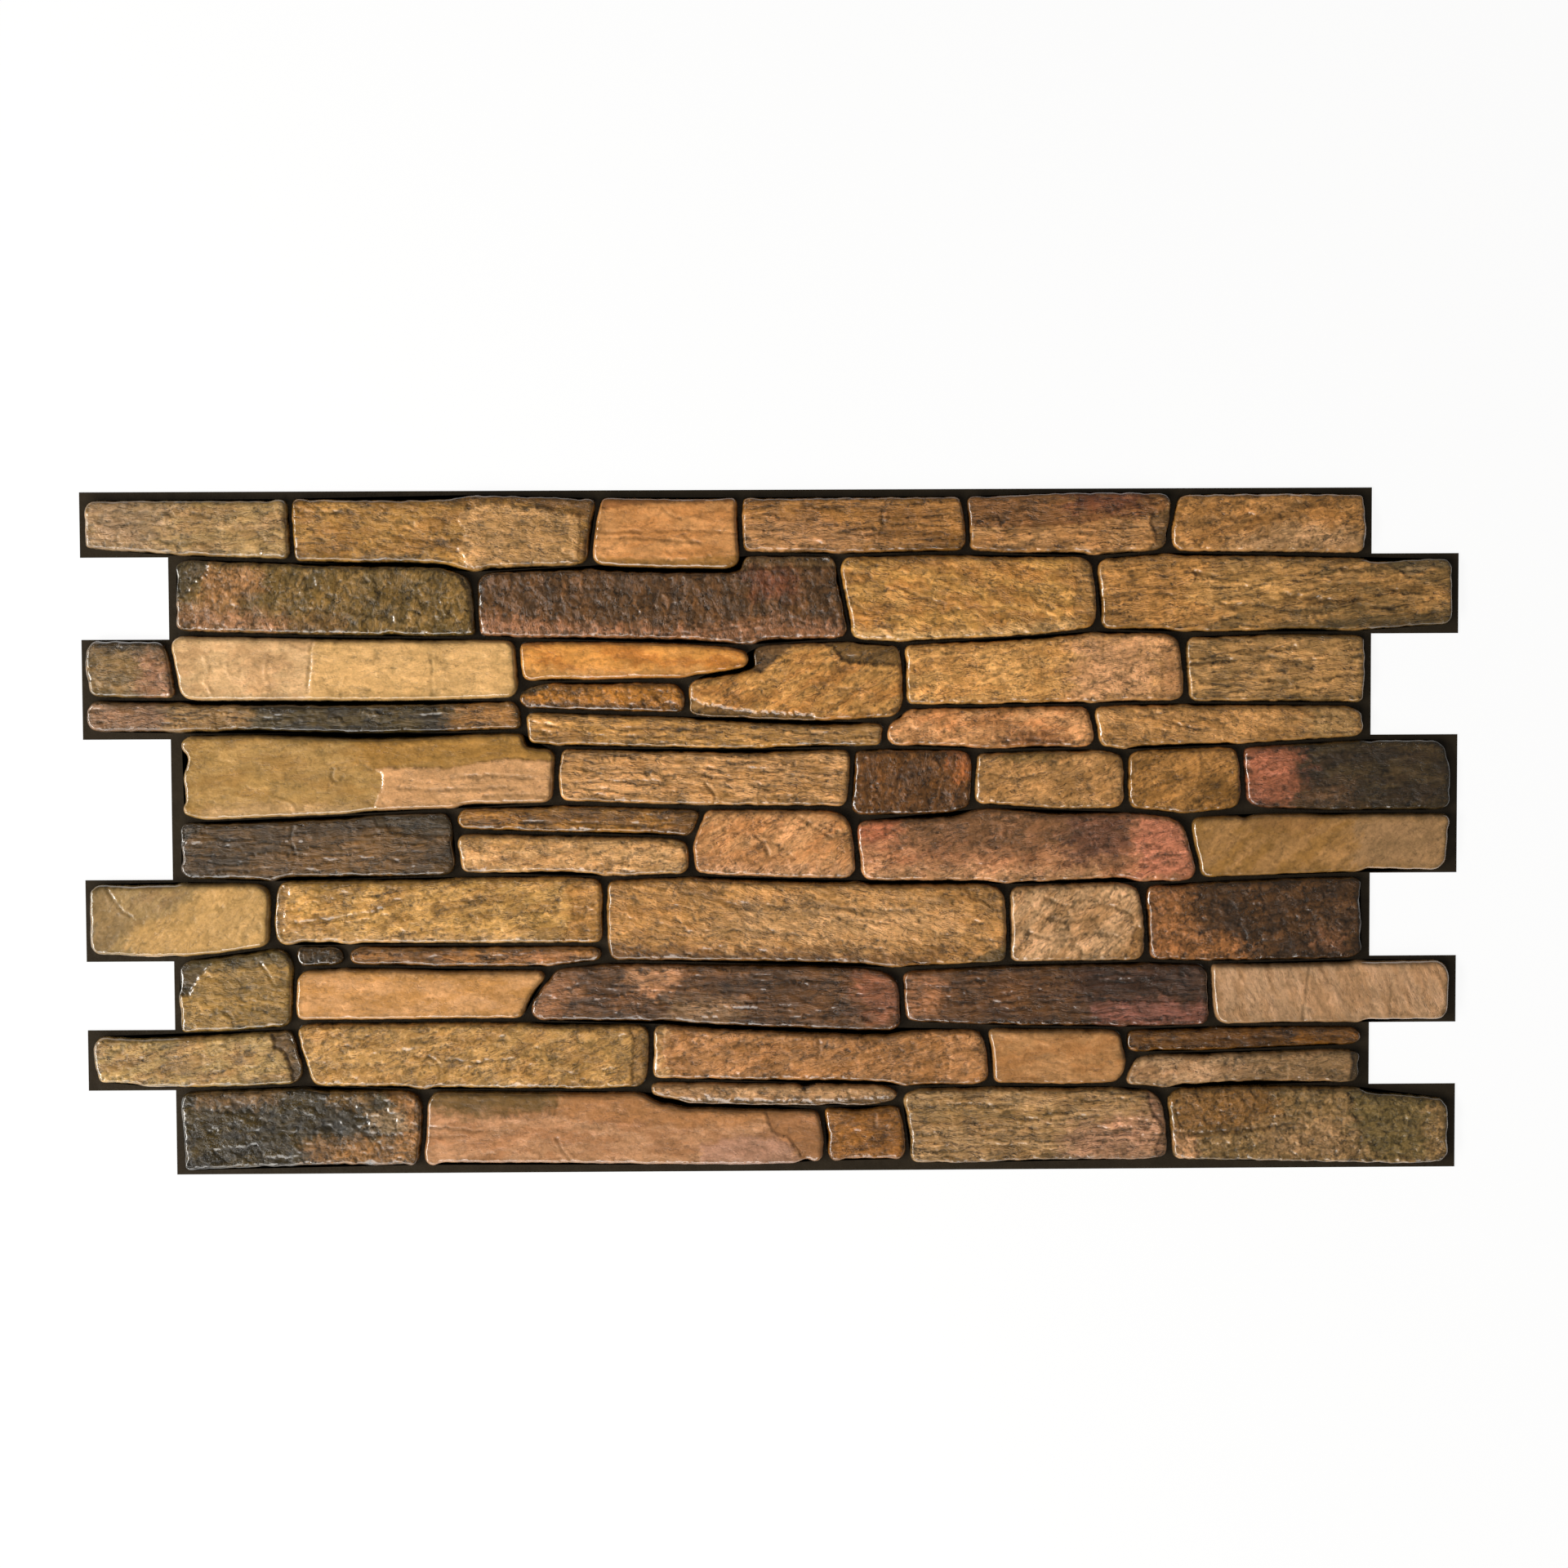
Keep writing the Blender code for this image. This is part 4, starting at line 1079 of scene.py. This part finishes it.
def bake_maps(shells):
    """For each shell, its face corners' places on one map: the skins large, the backs small."""
    sizes = []
    for shell in shells:
        wide, tall = np.ptp(shell["points"][:shell["skin"], :2], axis=0)
        sizes += [(wide, tall), (BACK_SCALE * wide, BACK_SCALE * tall)]
    places, scale = shelf_places(sizes, MAP_GAP)
    maps = []
    for k, shell in enumerate(shells):
        flat = shell["points"][:, :2]
        flat = flat - flat[:shell["skin"]].min(axis=0)
        front = flat * scale + places[2 * k]
        back = flat * BACK_SCALE * scale + places[2 * k + 1]
        behind = (shell["back"] == 1)[:, None, None]
        faces = shell["faces"]
        maps.append(np.where(behind, back[faces], front[faces]).reshape(-1, 2))
    return maps


def add_attribute(mesh, key, kind, field, values):
    """Stores a value for each point of a mesh."""
    held = mesh.attributes.new(key, kind, "POINT")
    held.data.foreach_set(field, values.astype(np.float32).ravel())


def course_mesh(name, shells, materials):
    """One mesh of several stones, with their print as attributes and one map for the bake."""
    starts = np.cumsum([0] + [len(shell["points"]) for shell in shells])
    faces = np.concatenate([shell["faces"] + start for shell, start in zip(shells, starts)])
    whole = {
        key: np.concatenate([shell[key] for shell in shells])
        for key in ("points", "back", "paint", "fibre", "touch")
    }
    points = whole["points"]
    points[:, :2] += CORNER
    points /= MM

    mesh = bpy.data.meshes.new(name)
    mesh.vertices.add(len(points))
    mesh.vertices.foreach_set("co", points.astype(np.float32).ravel())
    mesh.loops.add(faces.size)
    mesh.loops.foreach_set("vertex_index", faces.astype(np.int32).ravel())
    mesh.polygons.add(len(faces))
    mesh.polygons.foreach_set("loop_start", np.arange(0, faces.size, 3, dtype=np.int32))
    mesh.polygons.foreach_set("material_index", whole["back"].astype(np.int32))
    mesh.update(calc_edges=True)
    mesh.shade_smooth()
    for material in materials:
        mesh.materials.append(material)
    opaque = np.ones(len(points))
    for key in ("paint", "touch"):
        rgba = np.column_stack([whole[key], opaque])
        add_attribute(mesh, key, "FLOAT_COLOR", "color", rgba)
    add_attribute(mesh, "fibre", "FLOAT_VECTOR", "vector", whole["fibre"])
    layout = mesh.uv_layers.new(name="OFBake")
    layout.data.foreach_set("uv", np.concatenate(bake_maps(shells)).astype(np.float32).ravel())
    return mesh


# Materials


def node(tree, kind, inputs=None, **settings):
    """A node with its inputs set or linked, and its settings."""
    made = tree.nodes.new(kind)
    for name, value in settings.items():
        setattr(made, name, value)
    for name, value in (inputs or {}).items():
        if isinstance(value, bpy.types.NodeSocket):
            tree.links.new(value, made.inputs[name])
        else:
            made.inputs[name].default_value = value
    return made


def maths(tree, operation, first, second=0.0, third=0.0):
    """The result of a sum on up to three values or sockets."""
    return node(tree, "ShaderNodeMath", {0: first, 1: second, 2: third},
                operation=operation).outputs[0]


def product(tree, first, second):
    """One value times another."""
    return maths(tree, "MULTIPLY", first, second)


def texture(tree, vector, scale, detail, roughness=0.5, distortion=0.0):
    """A noise texture's value."""
    return node(tree, "ShaderNodeTexNoise", {
        "Vector": vector, "Scale": scale, "Detail": detail, "Roughness": roughness,
        "Distortion": distortion,
    }).outputs["Fac"]


def ramp(tree, value, start, end):
    """From 0 where the value is start to 1 where it is end."""
    return node(tree, "ShaderNodeMapRange", {
        "Value": value, "From Min": start, "From Max": end, "To Min": 0.0, "To Max": 1.0,
    }).outputs[0]


def scaled(tree, colour, tone):
    """A colour made darker or lighter by a value."""
    return node(tree, "ShaderNodeVectorMath", {0: colour, "Scale": tone},
                operation="SCALE").outputs[0]


def bumped(tree, shader, height, distance, strength):
    """Gives a shader relief that is finer than the mesh."""
    bump = node(tree, "ShaderNodeBump", {
        "Height": height, "Distance": distance, "Strength": strength})
    tree.links.new(bump.outputs["Normal"], shader.inputs["Normal"])


def blank_material(name, roughness, specular):
    """A new material, its node tree and its shader."""
    material = bpy.data.materials.new(name)
    material.use_nodes = True
    tree = material.node_tree
    shader = tree.nodes["Principled BSDF"]
    shader.inputs["Roughness"].default_value = roughness
    shader.inputs["Specular IOR Level"].default_value = specular
    return material, tree, shader


def stone_print(paint):
    """The printed skin: the painted colour with streaks, specks and hairline cracks, varnished."""
    material, tree, shader = blank_material("stone_print", 0.45, 0.40)
    shader.inputs["Coat Weight"].default_value = 1.0
    shader.inputs["Coat Roughness"].default_value = 0.14
    shader.inputs["Coat IOR"].default_value = 1.5
    strength = paint.grain_strength
    colour = node(tree, "ShaderNodeAttribute", attribute_name="paint").outputs["Color"]
    fibre = node(tree, "ShaderNodeAttribute", attribute_name="fibre").outputs["Vector"]
    touch = node(tree, "ShaderNodeAttribute", attribute_name="touch").outputs["Color"]
    touch = node(tree, "ShaderNodeSeparateColor", {"Color": touch}).outputs
    place = node(tree, "ShaderNodeTexCoord").outputs["Object"]
    streaks = texture(tree, fibre, 0.48, 5.0, 0.62, 0.25)
    specks = texture(tree, place, 620.0, 2.0, 0.6)
    hatch = texture(tree, fibre, 1.25, 2.0, 0.6)

    # Hairline cracks, broken off where the streaks are pale.
    vein = maths(tree, "SUBTRACT", texture(tree, fibre, 0.23, 3.0, 0.6, 0.5), 0.47)
    vein = ramp(tree, maths(tree, "ABSOLUTE", vein), 0.024, 0.004)
    vein = product(tree, product(tree, vein, ramp(tree, streaks, 0.60, 0.46)), touch["Red"])

    fine = maths(tree, "MULTIPLY_ADD", maths(tree, "SUBTRACT", hatch, 0.5), 0.75, -0.5)
    streak = product(tree, maths(tree, "ADD", streaks, fine), touch["Red"])
    speck = product(tree, maths(tree, "SUBTRACT", specks, 0.5), touch["Green"])
    tone = maths(tree, "MULTIPLY_ADD", streak, 1.5 * strength, 1.02)
    tone = maths(tree, "MULTIPLY_ADD", speck, 0.9 * strength, tone)
    tone = maths(tree, "MULTIPLY_ADD", vein, -0.75 * strength, tone)
    tone = maths(tree, "MINIMUM", maths(tree, "MAXIMUM", tone, 0.3), 1.7)
    toned = scaled(tree, colour, tone)

    # Painted shade: the low streaks, which the bump sinks into grooves, are printed darker.
    low = product(tree, ramp(tree, streaks, 0.44, 0.32), touch["Red"])
    painted_groove_shade = node(tree, "ShaderNodeVectorMath", {0: toned, 1: (0.56, 0.45, 0.32)},
                operation="MULTIPLY").outputs[0]
    mixed = node(tree, "ShaderNodeMix", {
        0: product(tree, low, 0.45 * strength), 6: toned, 7: painted_groove_shade}, data_type="RGBA")
    tree.links.new(mixed.outputs[2], shader.inputs["Base Color"])

    gloss = maths(tree, "MULTIPLY_ADD", touch["Blue"], -0.34, 0.50)
    gloss = maths(tree, "MULTIPLY_ADD", speck, 0.15, gloss)
    tree.links.new(gloss, shader.inputs["Roughness"])
    relief = maths(tree, "MULTIPLY_ADD", speck, 0.30, streak)
    relief = maths(tree, "MULTIPLY_ADD", vein, -0.28, relief)
    bumped(tree, shader, relief, 0.0011, paint.relief_strength)
    return material


def plain_plastic(name, colour, roughness, specular, ripple):
    """The sheet's own plastic: near black, softly rippled, a little uneven in its gloss."""
    material, tree, shader = blank_material(name, roughness, specular)
    place = node(tree, "ShaderNodeTexCoord").outputs["Object"]
    waves = texture(tree, place, 85.0, 3.0, 0.5, 0.3)
    fine = texture(tree, place, 420.0, 2.0)
    tone = maths(tree, "MULTIPLY_ADD", waves, 0.8, 0.6)
    tree.links.new(scaled(tree, tuple(colour), tone), shader.inputs["Base Color"])
    gloss = maths(tree, "MULTIPLY_ADD", fine, 0.16, roughness - 0.08)
    tree.links.new(gloss, shader.inputs["Roughness"])
    bumped(tree, shader, maths(tree, "MULTIPLY_ADD", fine, 0.15, waves), 0.001, ripple)
    return material


def kept(obj):
    """Links a finished piece, and ties it to the frame."""
    bpy.context.scene.collection.objects.link(obj)
    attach(obj, BODY)
    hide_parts(NODE)


# The flange's tree


def flange_tree(material):
    """Fills the space between closed outlines, and gives it a thickness upwards."""
    tree = bpy.data.node_groups.new("moulded_flange", "GeometryNodeTree")
    tree.interface.new_socket("Outlines", in_out="INPUT", socket_type="NodeSocketGeometry")
    thickness = tree.interface.new_socket(
        "Sheet thickness", in_out="INPUT", socket_type="NodeSocketFloat")
    thickness.subtype = "DISTANCE"
    thickness.default_value = SHEET_TOP / MM
    tree.interface.new_socket("Flange", in_out="OUTPUT", socket_type="NodeSocketGeometry")
    given = node(tree, "NodeGroupInput")
    curves = node(tree, "GeometryNodeMeshToCurve", {"Mesh": given.outputs["Outlines"]})
    filled = node(tree, "GeometryNodeFillCurve", {"Curve": curves.outputs["Curve"]},
                  mode="TRIANGLES")
    upwards = node(tree, "ShaderNodeCombineXYZ", {"Z": given.outputs["Sheet thickness"]})
    raised = node(tree, "GeometryNodeExtrudeMesh", {
        "Mesh": filled.outputs["Mesh"], "Offset": upwards.outputs["Vector"],
        "Offset Scale": 1.0, "Individual": False,
    }, mode="FACES")
    back = node(tree, "GeometryNodeFlipFaces", {"Mesh": filled.outputs["Mesh"]})
    both = node(tree, "GeometryNodeJoinGeometry")
    tree.links.new(raised.outputs["Mesh"], both.inputs[0])
    tree.links.new(back.outputs["Mesh"], both.inputs[0])
    joined = node(tree, "GeometryNodeMergeByDistance", {
        "Geometry": both.outputs[0], "Distance": 1e-6})
    real = node(tree, "GeometryNodeRealizeInstances", {"Geometry": joined.outputs[0]})
    dressed = node(tree, "GeometryNodeSetMaterial", {
        "Geometry": real.outputs[0], "Material": material})
    result = node(tree, "NodeGroupOutput")
    tree.links.new(dressed.outputs[0], result.inputs[0])
    return tree, thickness.identifier


# Settings


class PanelShape(bpy.types.PropertyGroup):
    """Sizes of the moulding."""

    mesh_step: bpy.props.FloatProperty(
        name="Mesh step", description="Distance between points on a stone's face",
        default=0.00125, min=0.0008, max=0.01, unit="LENGTH", subtype="DISTANCE", precision=5)
    outline_step: bpy.props.FloatProperty(
        name="Outline step", description="Distance between points round a stone's foot",
        default=0.0012, min=0.0008, max=0.01, unit="LENGTH", subtype="DISTANCE", precision=5)
    wall_run: bpy.props.FloatProperty(
        name="Wall run", description="How far a stone's wall leans in up to its shoulder",
        default=0.0007, min=0.0005, max=0.003, unit="LENGTH", subtype="DISTANCE", precision=5)
    edge_run: bpy.props.FloatProperty(
        name="Edge run", description="How wide a stone's rim is rounded",
        default=0.0030, min=0.0005, max=0.006, unit="LENGTH", subtype="DISTANCE", precision=5)
    ragged: bpy.props.FloatProperty(
        name="Ragged edge", description="How far a stone's outline wanders",
        default=0.00045, min=0.0, max=0.001, unit="LENGTH", subtype="DISTANCE", precision=5)
    spread: bpy.props.FloatProperty(
        name="Foot spread", description="Share of a wide joint that the stones' feet fill",
        default=1.0, min=0.0, max=1.0, subtype="FACTOR")
    sheet: bpy.props.FloatProperty(
        name="Sheet thickness", description="Thickness of the flange, as in the CAD",
        default=SHEET_TOP / MM, min=0.0002, max=0.002, unit="LENGTH", subtype="DISTANCE",
        precision=5)


class PanelPaint(bpy.types.PropertyGroup):
    """Colours and finish of the plastic."""

    joint_colour: bpy.props.FloatVectorProperty(
        name="Joint colour", description="Colour of the flange between the stones",
        default=(0.0220, 0.0160, 0.0095), size=3, min=0.0, max=1.0, subtype="COLOR")
    varnish: bpy.props.FloatVectorProperty(
        name="Varnish", description="Tint of the varnish over the print",
        default=(1.0, 0.92, 0.74), size=3, min=0.0, max=1.0, subtype="COLOR")
    back_colour: bpy.props.FloatVectorProperty(
        name="Back colour", description="Colour of the unprinted back",
        default=(0.016, 0.015, 0.014), size=3, min=0.0, max=1.0, subtype="COLOR")
    grain_strength: bpy.props.FloatProperty(
        name="Grain", description="Contrast of the printed streaks and specks",
        default=1.0, min=0.0, max=2.0, subtype="FACTOR")
    relief_strength: bpy.props.FloatProperty(
        name="Fine relief", description="Strength of the relief that is finer than the mesh",
        default=1.0, min=0.0, max=2.0, subtype="FACTOR")


class PanelStage(bpy.types.PropertyGroup):
    """Camera, lamps and floor."""

    camera_place: bpy.props.FloatVectorProperty(
        name="Camera place", description="Where the camera stands",
        default=(-0.0099, 0.1184, 1.8624), size=3, unit="LENGTH", subtype="TRANSLATION")
    camera_turn: bpy.props.FloatVectorProperty(
        name="Camera turn", description="How the camera is turned from looking straight down",
        default=(math.radians(-2.58), math.radians(-0.575), math.radians(-0.259)), size=3,
        unit="ROTATION", subtype="EULER")
    lens: bpy.props.FloatProperty(
        name="Lens", description="Focal length in millimetres, on a 36 mm sensor",
        default=60.0, min=10.0, max=300.0)
    key_power: bpy.props.FloatProperty(
        name="Key lamp", description="Power of the large lamp on the lower left",
        default=115.0, min=0.0, max=2000.0, unit="POWER")
    window_power: bpy.props.FloatProperty(
        name="Window lamp", description="Power of the narrow lamp low on the left",
        default=120.0, min=0.0, max=2000.0, unit="POWER")
    fill: bpy.props.FloatProperty(
        name="Fill", description="Light from all round",
        default=0.16, min=0.0, max=2.0)
    floor_colour: bpy.props.FloatVectorProperty(
        name="Floor colour", description="Colour of the floor",
        default=(0.92, 0.92, 0.92), size=3, min=0.0, max=1.0, subtype="COLOR")


# The pieces


class BuildFlange(bpy.types.Operator):
    """Builds the flat sheet round the stones, with its stepped ends."""

    bl_idname = "stone_panel.flange"
    bl_label = "Flange"

    def execute(self, context):
        shape, paint = context.scene.panel_shape, context.scene.panel_paint
        outline, stones = foot_rings(shape)
        points, edges = [], []
        for ring in [outline] + [entry[0] for entry in stones.values()]:
            start = len(points)
            points += [(x / MM, y / MM, 0.0) for x, y in ring + CORNER]
            edges += [(start + k, start + (k + 1) % len(ring)) for k in range(len(ring))]
        lines = bpy.data.meshes.new("flange_outlines")
        lines.from_pydata(points, edges, [])
        flange = bpy.data.objects.new("flange", lines)
        context.scene.collection.objects.link(flange)
        material = plain_plastic("joint_plastic", paint.joint_colour, 0.28, 0.25, 0.45)
        tree, thickness = flange_tree(material)
        rule = flange.modifiers.new("flange", "NODES")
        rule.node_group = tree
        rule[thickness] = shape.sheet
        graph = context.evaluated_depsgraph_get()
        solid = bpy.data.meshes.new_from_object(flange.evaluated_get(graph))
        flange.modifiers.remove(rule)
        flange.data = solid
        solid.name = "flange"
        if len(solid.polygons) < FEWEST_FLANGE_FACES:
            raise RuntimeError("the flange's outlines weren't filled")
        context.scene.collection.objects.unlink(flange)
        kept(flange)
        return {"FINISHED"}


class BuildStones(bpy.types.Operator):
    """Builds the printed stones in relief, one piece for each course."""

    bl_idname = "stone_panel.stones"
    bl_label = "Stones"

    def execute(self, context):
        shape, paint = context.scene.panel_shape, context.scene.panel_paint
        stones = foot_rings(shape)[1]
        table = {stone.name: stone for stone in STONES}
        front = stone_print(paint)
        back = plain_plastic("back_plastic", paint.back_colour, 0.5, 0.4, 0.25)
        for name, members in COURSES:
            shells = [
                stone_shell(table[one], *stones[one], shape, paint.varnish) for one in members
            ]
            kept(bpy.data.objects.new(name, course_mesh(name, shells, (front, back))))
        return {"FINISHED"}


def area_lamp(name, place, size, power, colour):
    """A lamp that faces the panel's middle, size wide and high."""
    lamp = bpy.data.lights.new(name, "AREA")
    lamp.shape = "RECTANGLE"
    lamp.size, lamp.size_y = size
    lamp.energy = power
    lamp.color = colour
    held = bpy.data.objects.new(name, lamp)
    held.location = place
    held.rotation_euler = (-Vector(place)).to_track_quat("-Z", "Y").to_euler()
    bpy.context.scene.collection.objects.link(held)


def around(azimuth, elevation, reach):
    """A place seen from the panel's middle: azimuth 0 is towards +X, and 90 towards +Y."""
    turn, rise = math.radians(azimuth), math.radians(elevation)
    flat = reach * math.cos(rise)
    return (flat * math.cos(turn), flat * math.sin(turn), reach * math.sin(rise))


def white_mix(tree, share, plain, white, output):
    """Shows white in place of a shader by this share."""
    mixed = node(tree, "ShaderNodeMixShader", {
        0: share, 1: plain.outputs[0], 2: white.outputs[0]})
    tree.links.new(mixed.outputs[0], tree.nodes[output].inputs["Surface"])


def build_floor(scene, stage):
    """A pale floor just under the panel, whiter to the camera than to the panel."""
    mesh = bpy.data.meshes.new("floor")
    mesh.from_pydata(
        [(x * FLOOR_REACH, y * FLOOR_REACH, -FLOOR_DROP)
         for x, y in ((-1, -1), (1, -1), (1, 1), (-1, 1))], [], [(0, 1, 2, 3)])
    material, tree, shader = blank_material("floor_paint", 0.9, 0.1)
    shader.inputs["Base Color"].default_value = (*stage.floor_colour, 1.0)
    path = node(tree, "ShaderNodeLightPath").outputs
    seen = maths(tree, "MAXIMUM", path["Is Camera Ray"], path["Is Glossy Ray"])
    seen = maths(tree, "MAXIMUM", seen, path["Is Transmission Ray"])
    white = node(tree, "ShaderNodeEmission", {"Color": (1, 1, 1, 1), "Strength": 1.0})
    white_mix(tree, product(tree, seen, FLOOR_WHITE), shader, white, "Material Output")
    mesh.materials.append(material)
    floor = bpy.data.objects.new("floor", mesh)
    scene.collection.objects.link(floor)


def build_world(scene, stage):
    """Soft light from all round, with white behind it for the camera."""
    world = bpy.data.worlds.new("studio")
    world.use_nodes = True
    tree = world.node_tree
    soft = tree.nodes["Background"]
    soft.inputs["Color"].default_value = (1.0, 0.95, 0.86, 1.0)
    soft.inputs["Strength"].default_value = stage.fill
    seen = node(tree, "ShaderNodeLightPath").outputs["Is Camera Ray"]
    white = node(tree, "ShaderNodeBackground", {"Color": (1, 1, 1, 1), "Strength": 1.0})
    white_mix(tree, seen, soft, white, "World Output")
    scene.world = world


def build_camera(scene, stage):
    """The camera at the photo's angle."""
    lens = bpy.data.cameras.new("camera")
    lens.lens = stage.lens
    lens.sensor_width = 36.0
    lens.clip_end = 50.0
    camera = bpy.data.objects.new("camera", lens)
    camera.location = stage.camera_place
    camera.rotation_euler = stage.camera_turn
    scene.collection.objects.link(camera)
    scene.camera = camera


class BuildStage(bpy.types.Operator):
    """Sets the floor, the lamps, the light from all round and the camera."""

    bl_idname = "stone_panel.stage"
    bl_label = "Stage"

    def execute(self, context):
        scene, stage = context.scene, context.scene.panel_stage
        build_floor(scene, stage)
        build_world(scene, stage)
        area_lamp("key_lamp", around(256, 32, 4.2), (2.4, 2.4), stage.key_power,
                  (1.0, 0.98, 0.95))
        area_lamp("window_lamp", around(196, 30, 3.0), (2.4, 0.5), stage.window_power,
                  (1.0, 0.985, 0.95))
        build_camera(scene, stage)
        scene.view_settings.view_transform = "Standard"
        return {"FINISHED"}


class StonePanelPanel(bpy.types.Panel):
    """Lists the pieces and their settings."""

    bl_idname = "VIEW3D_PT_stone_panel"
    bl_label = "Stone Panel"
    bl_space_type = "VIEW_3D"
    bl_region_type = "UI"
    bl_category = "Stone Panel"

    def draw(self, context):
        layout = self.layout
        for group in (context.scene.panel_shape, context.scene.panel_paint,
                      context.scene.panel_stage):
            box = layout.box()
            for name in group.__annotations__:
                box.prop(group, name)
        for operator in OPERATORS:
            layout.operator(operator.bl_idname)


OPERATORS = (BuildFlange, BuildStones, BuildStage)
GROUPS = {"panel_shape": PanelShape, "panel_paint": PanelPaint, "panel_stage": PanelStage}


def register():
    for one in (*GROUPS.values(), *OPERATORS, StonePanelPanel):
        bpy.utils.register_class(one)
    for name, group in GROUPS.items():
        setattr(bpy.types.Scene, name, bpy.props.PointerProperty(type=group))


def unregister():
    for name in GROUPS:
        delattr(bpy.types.Scene, name)
    for one in (StonePanelPanel, *reversed(OPERATORS), *reversed(GROUPS.values())):
        bpy.utils.unregister_class(one)


def main():
    register()
    bpy.ops.stone_panel.flange()
    bpy.ops.stone_panel.stones()
    bpy.ops.stone_panel.stage()


if __name__ == "__main__":
    main()
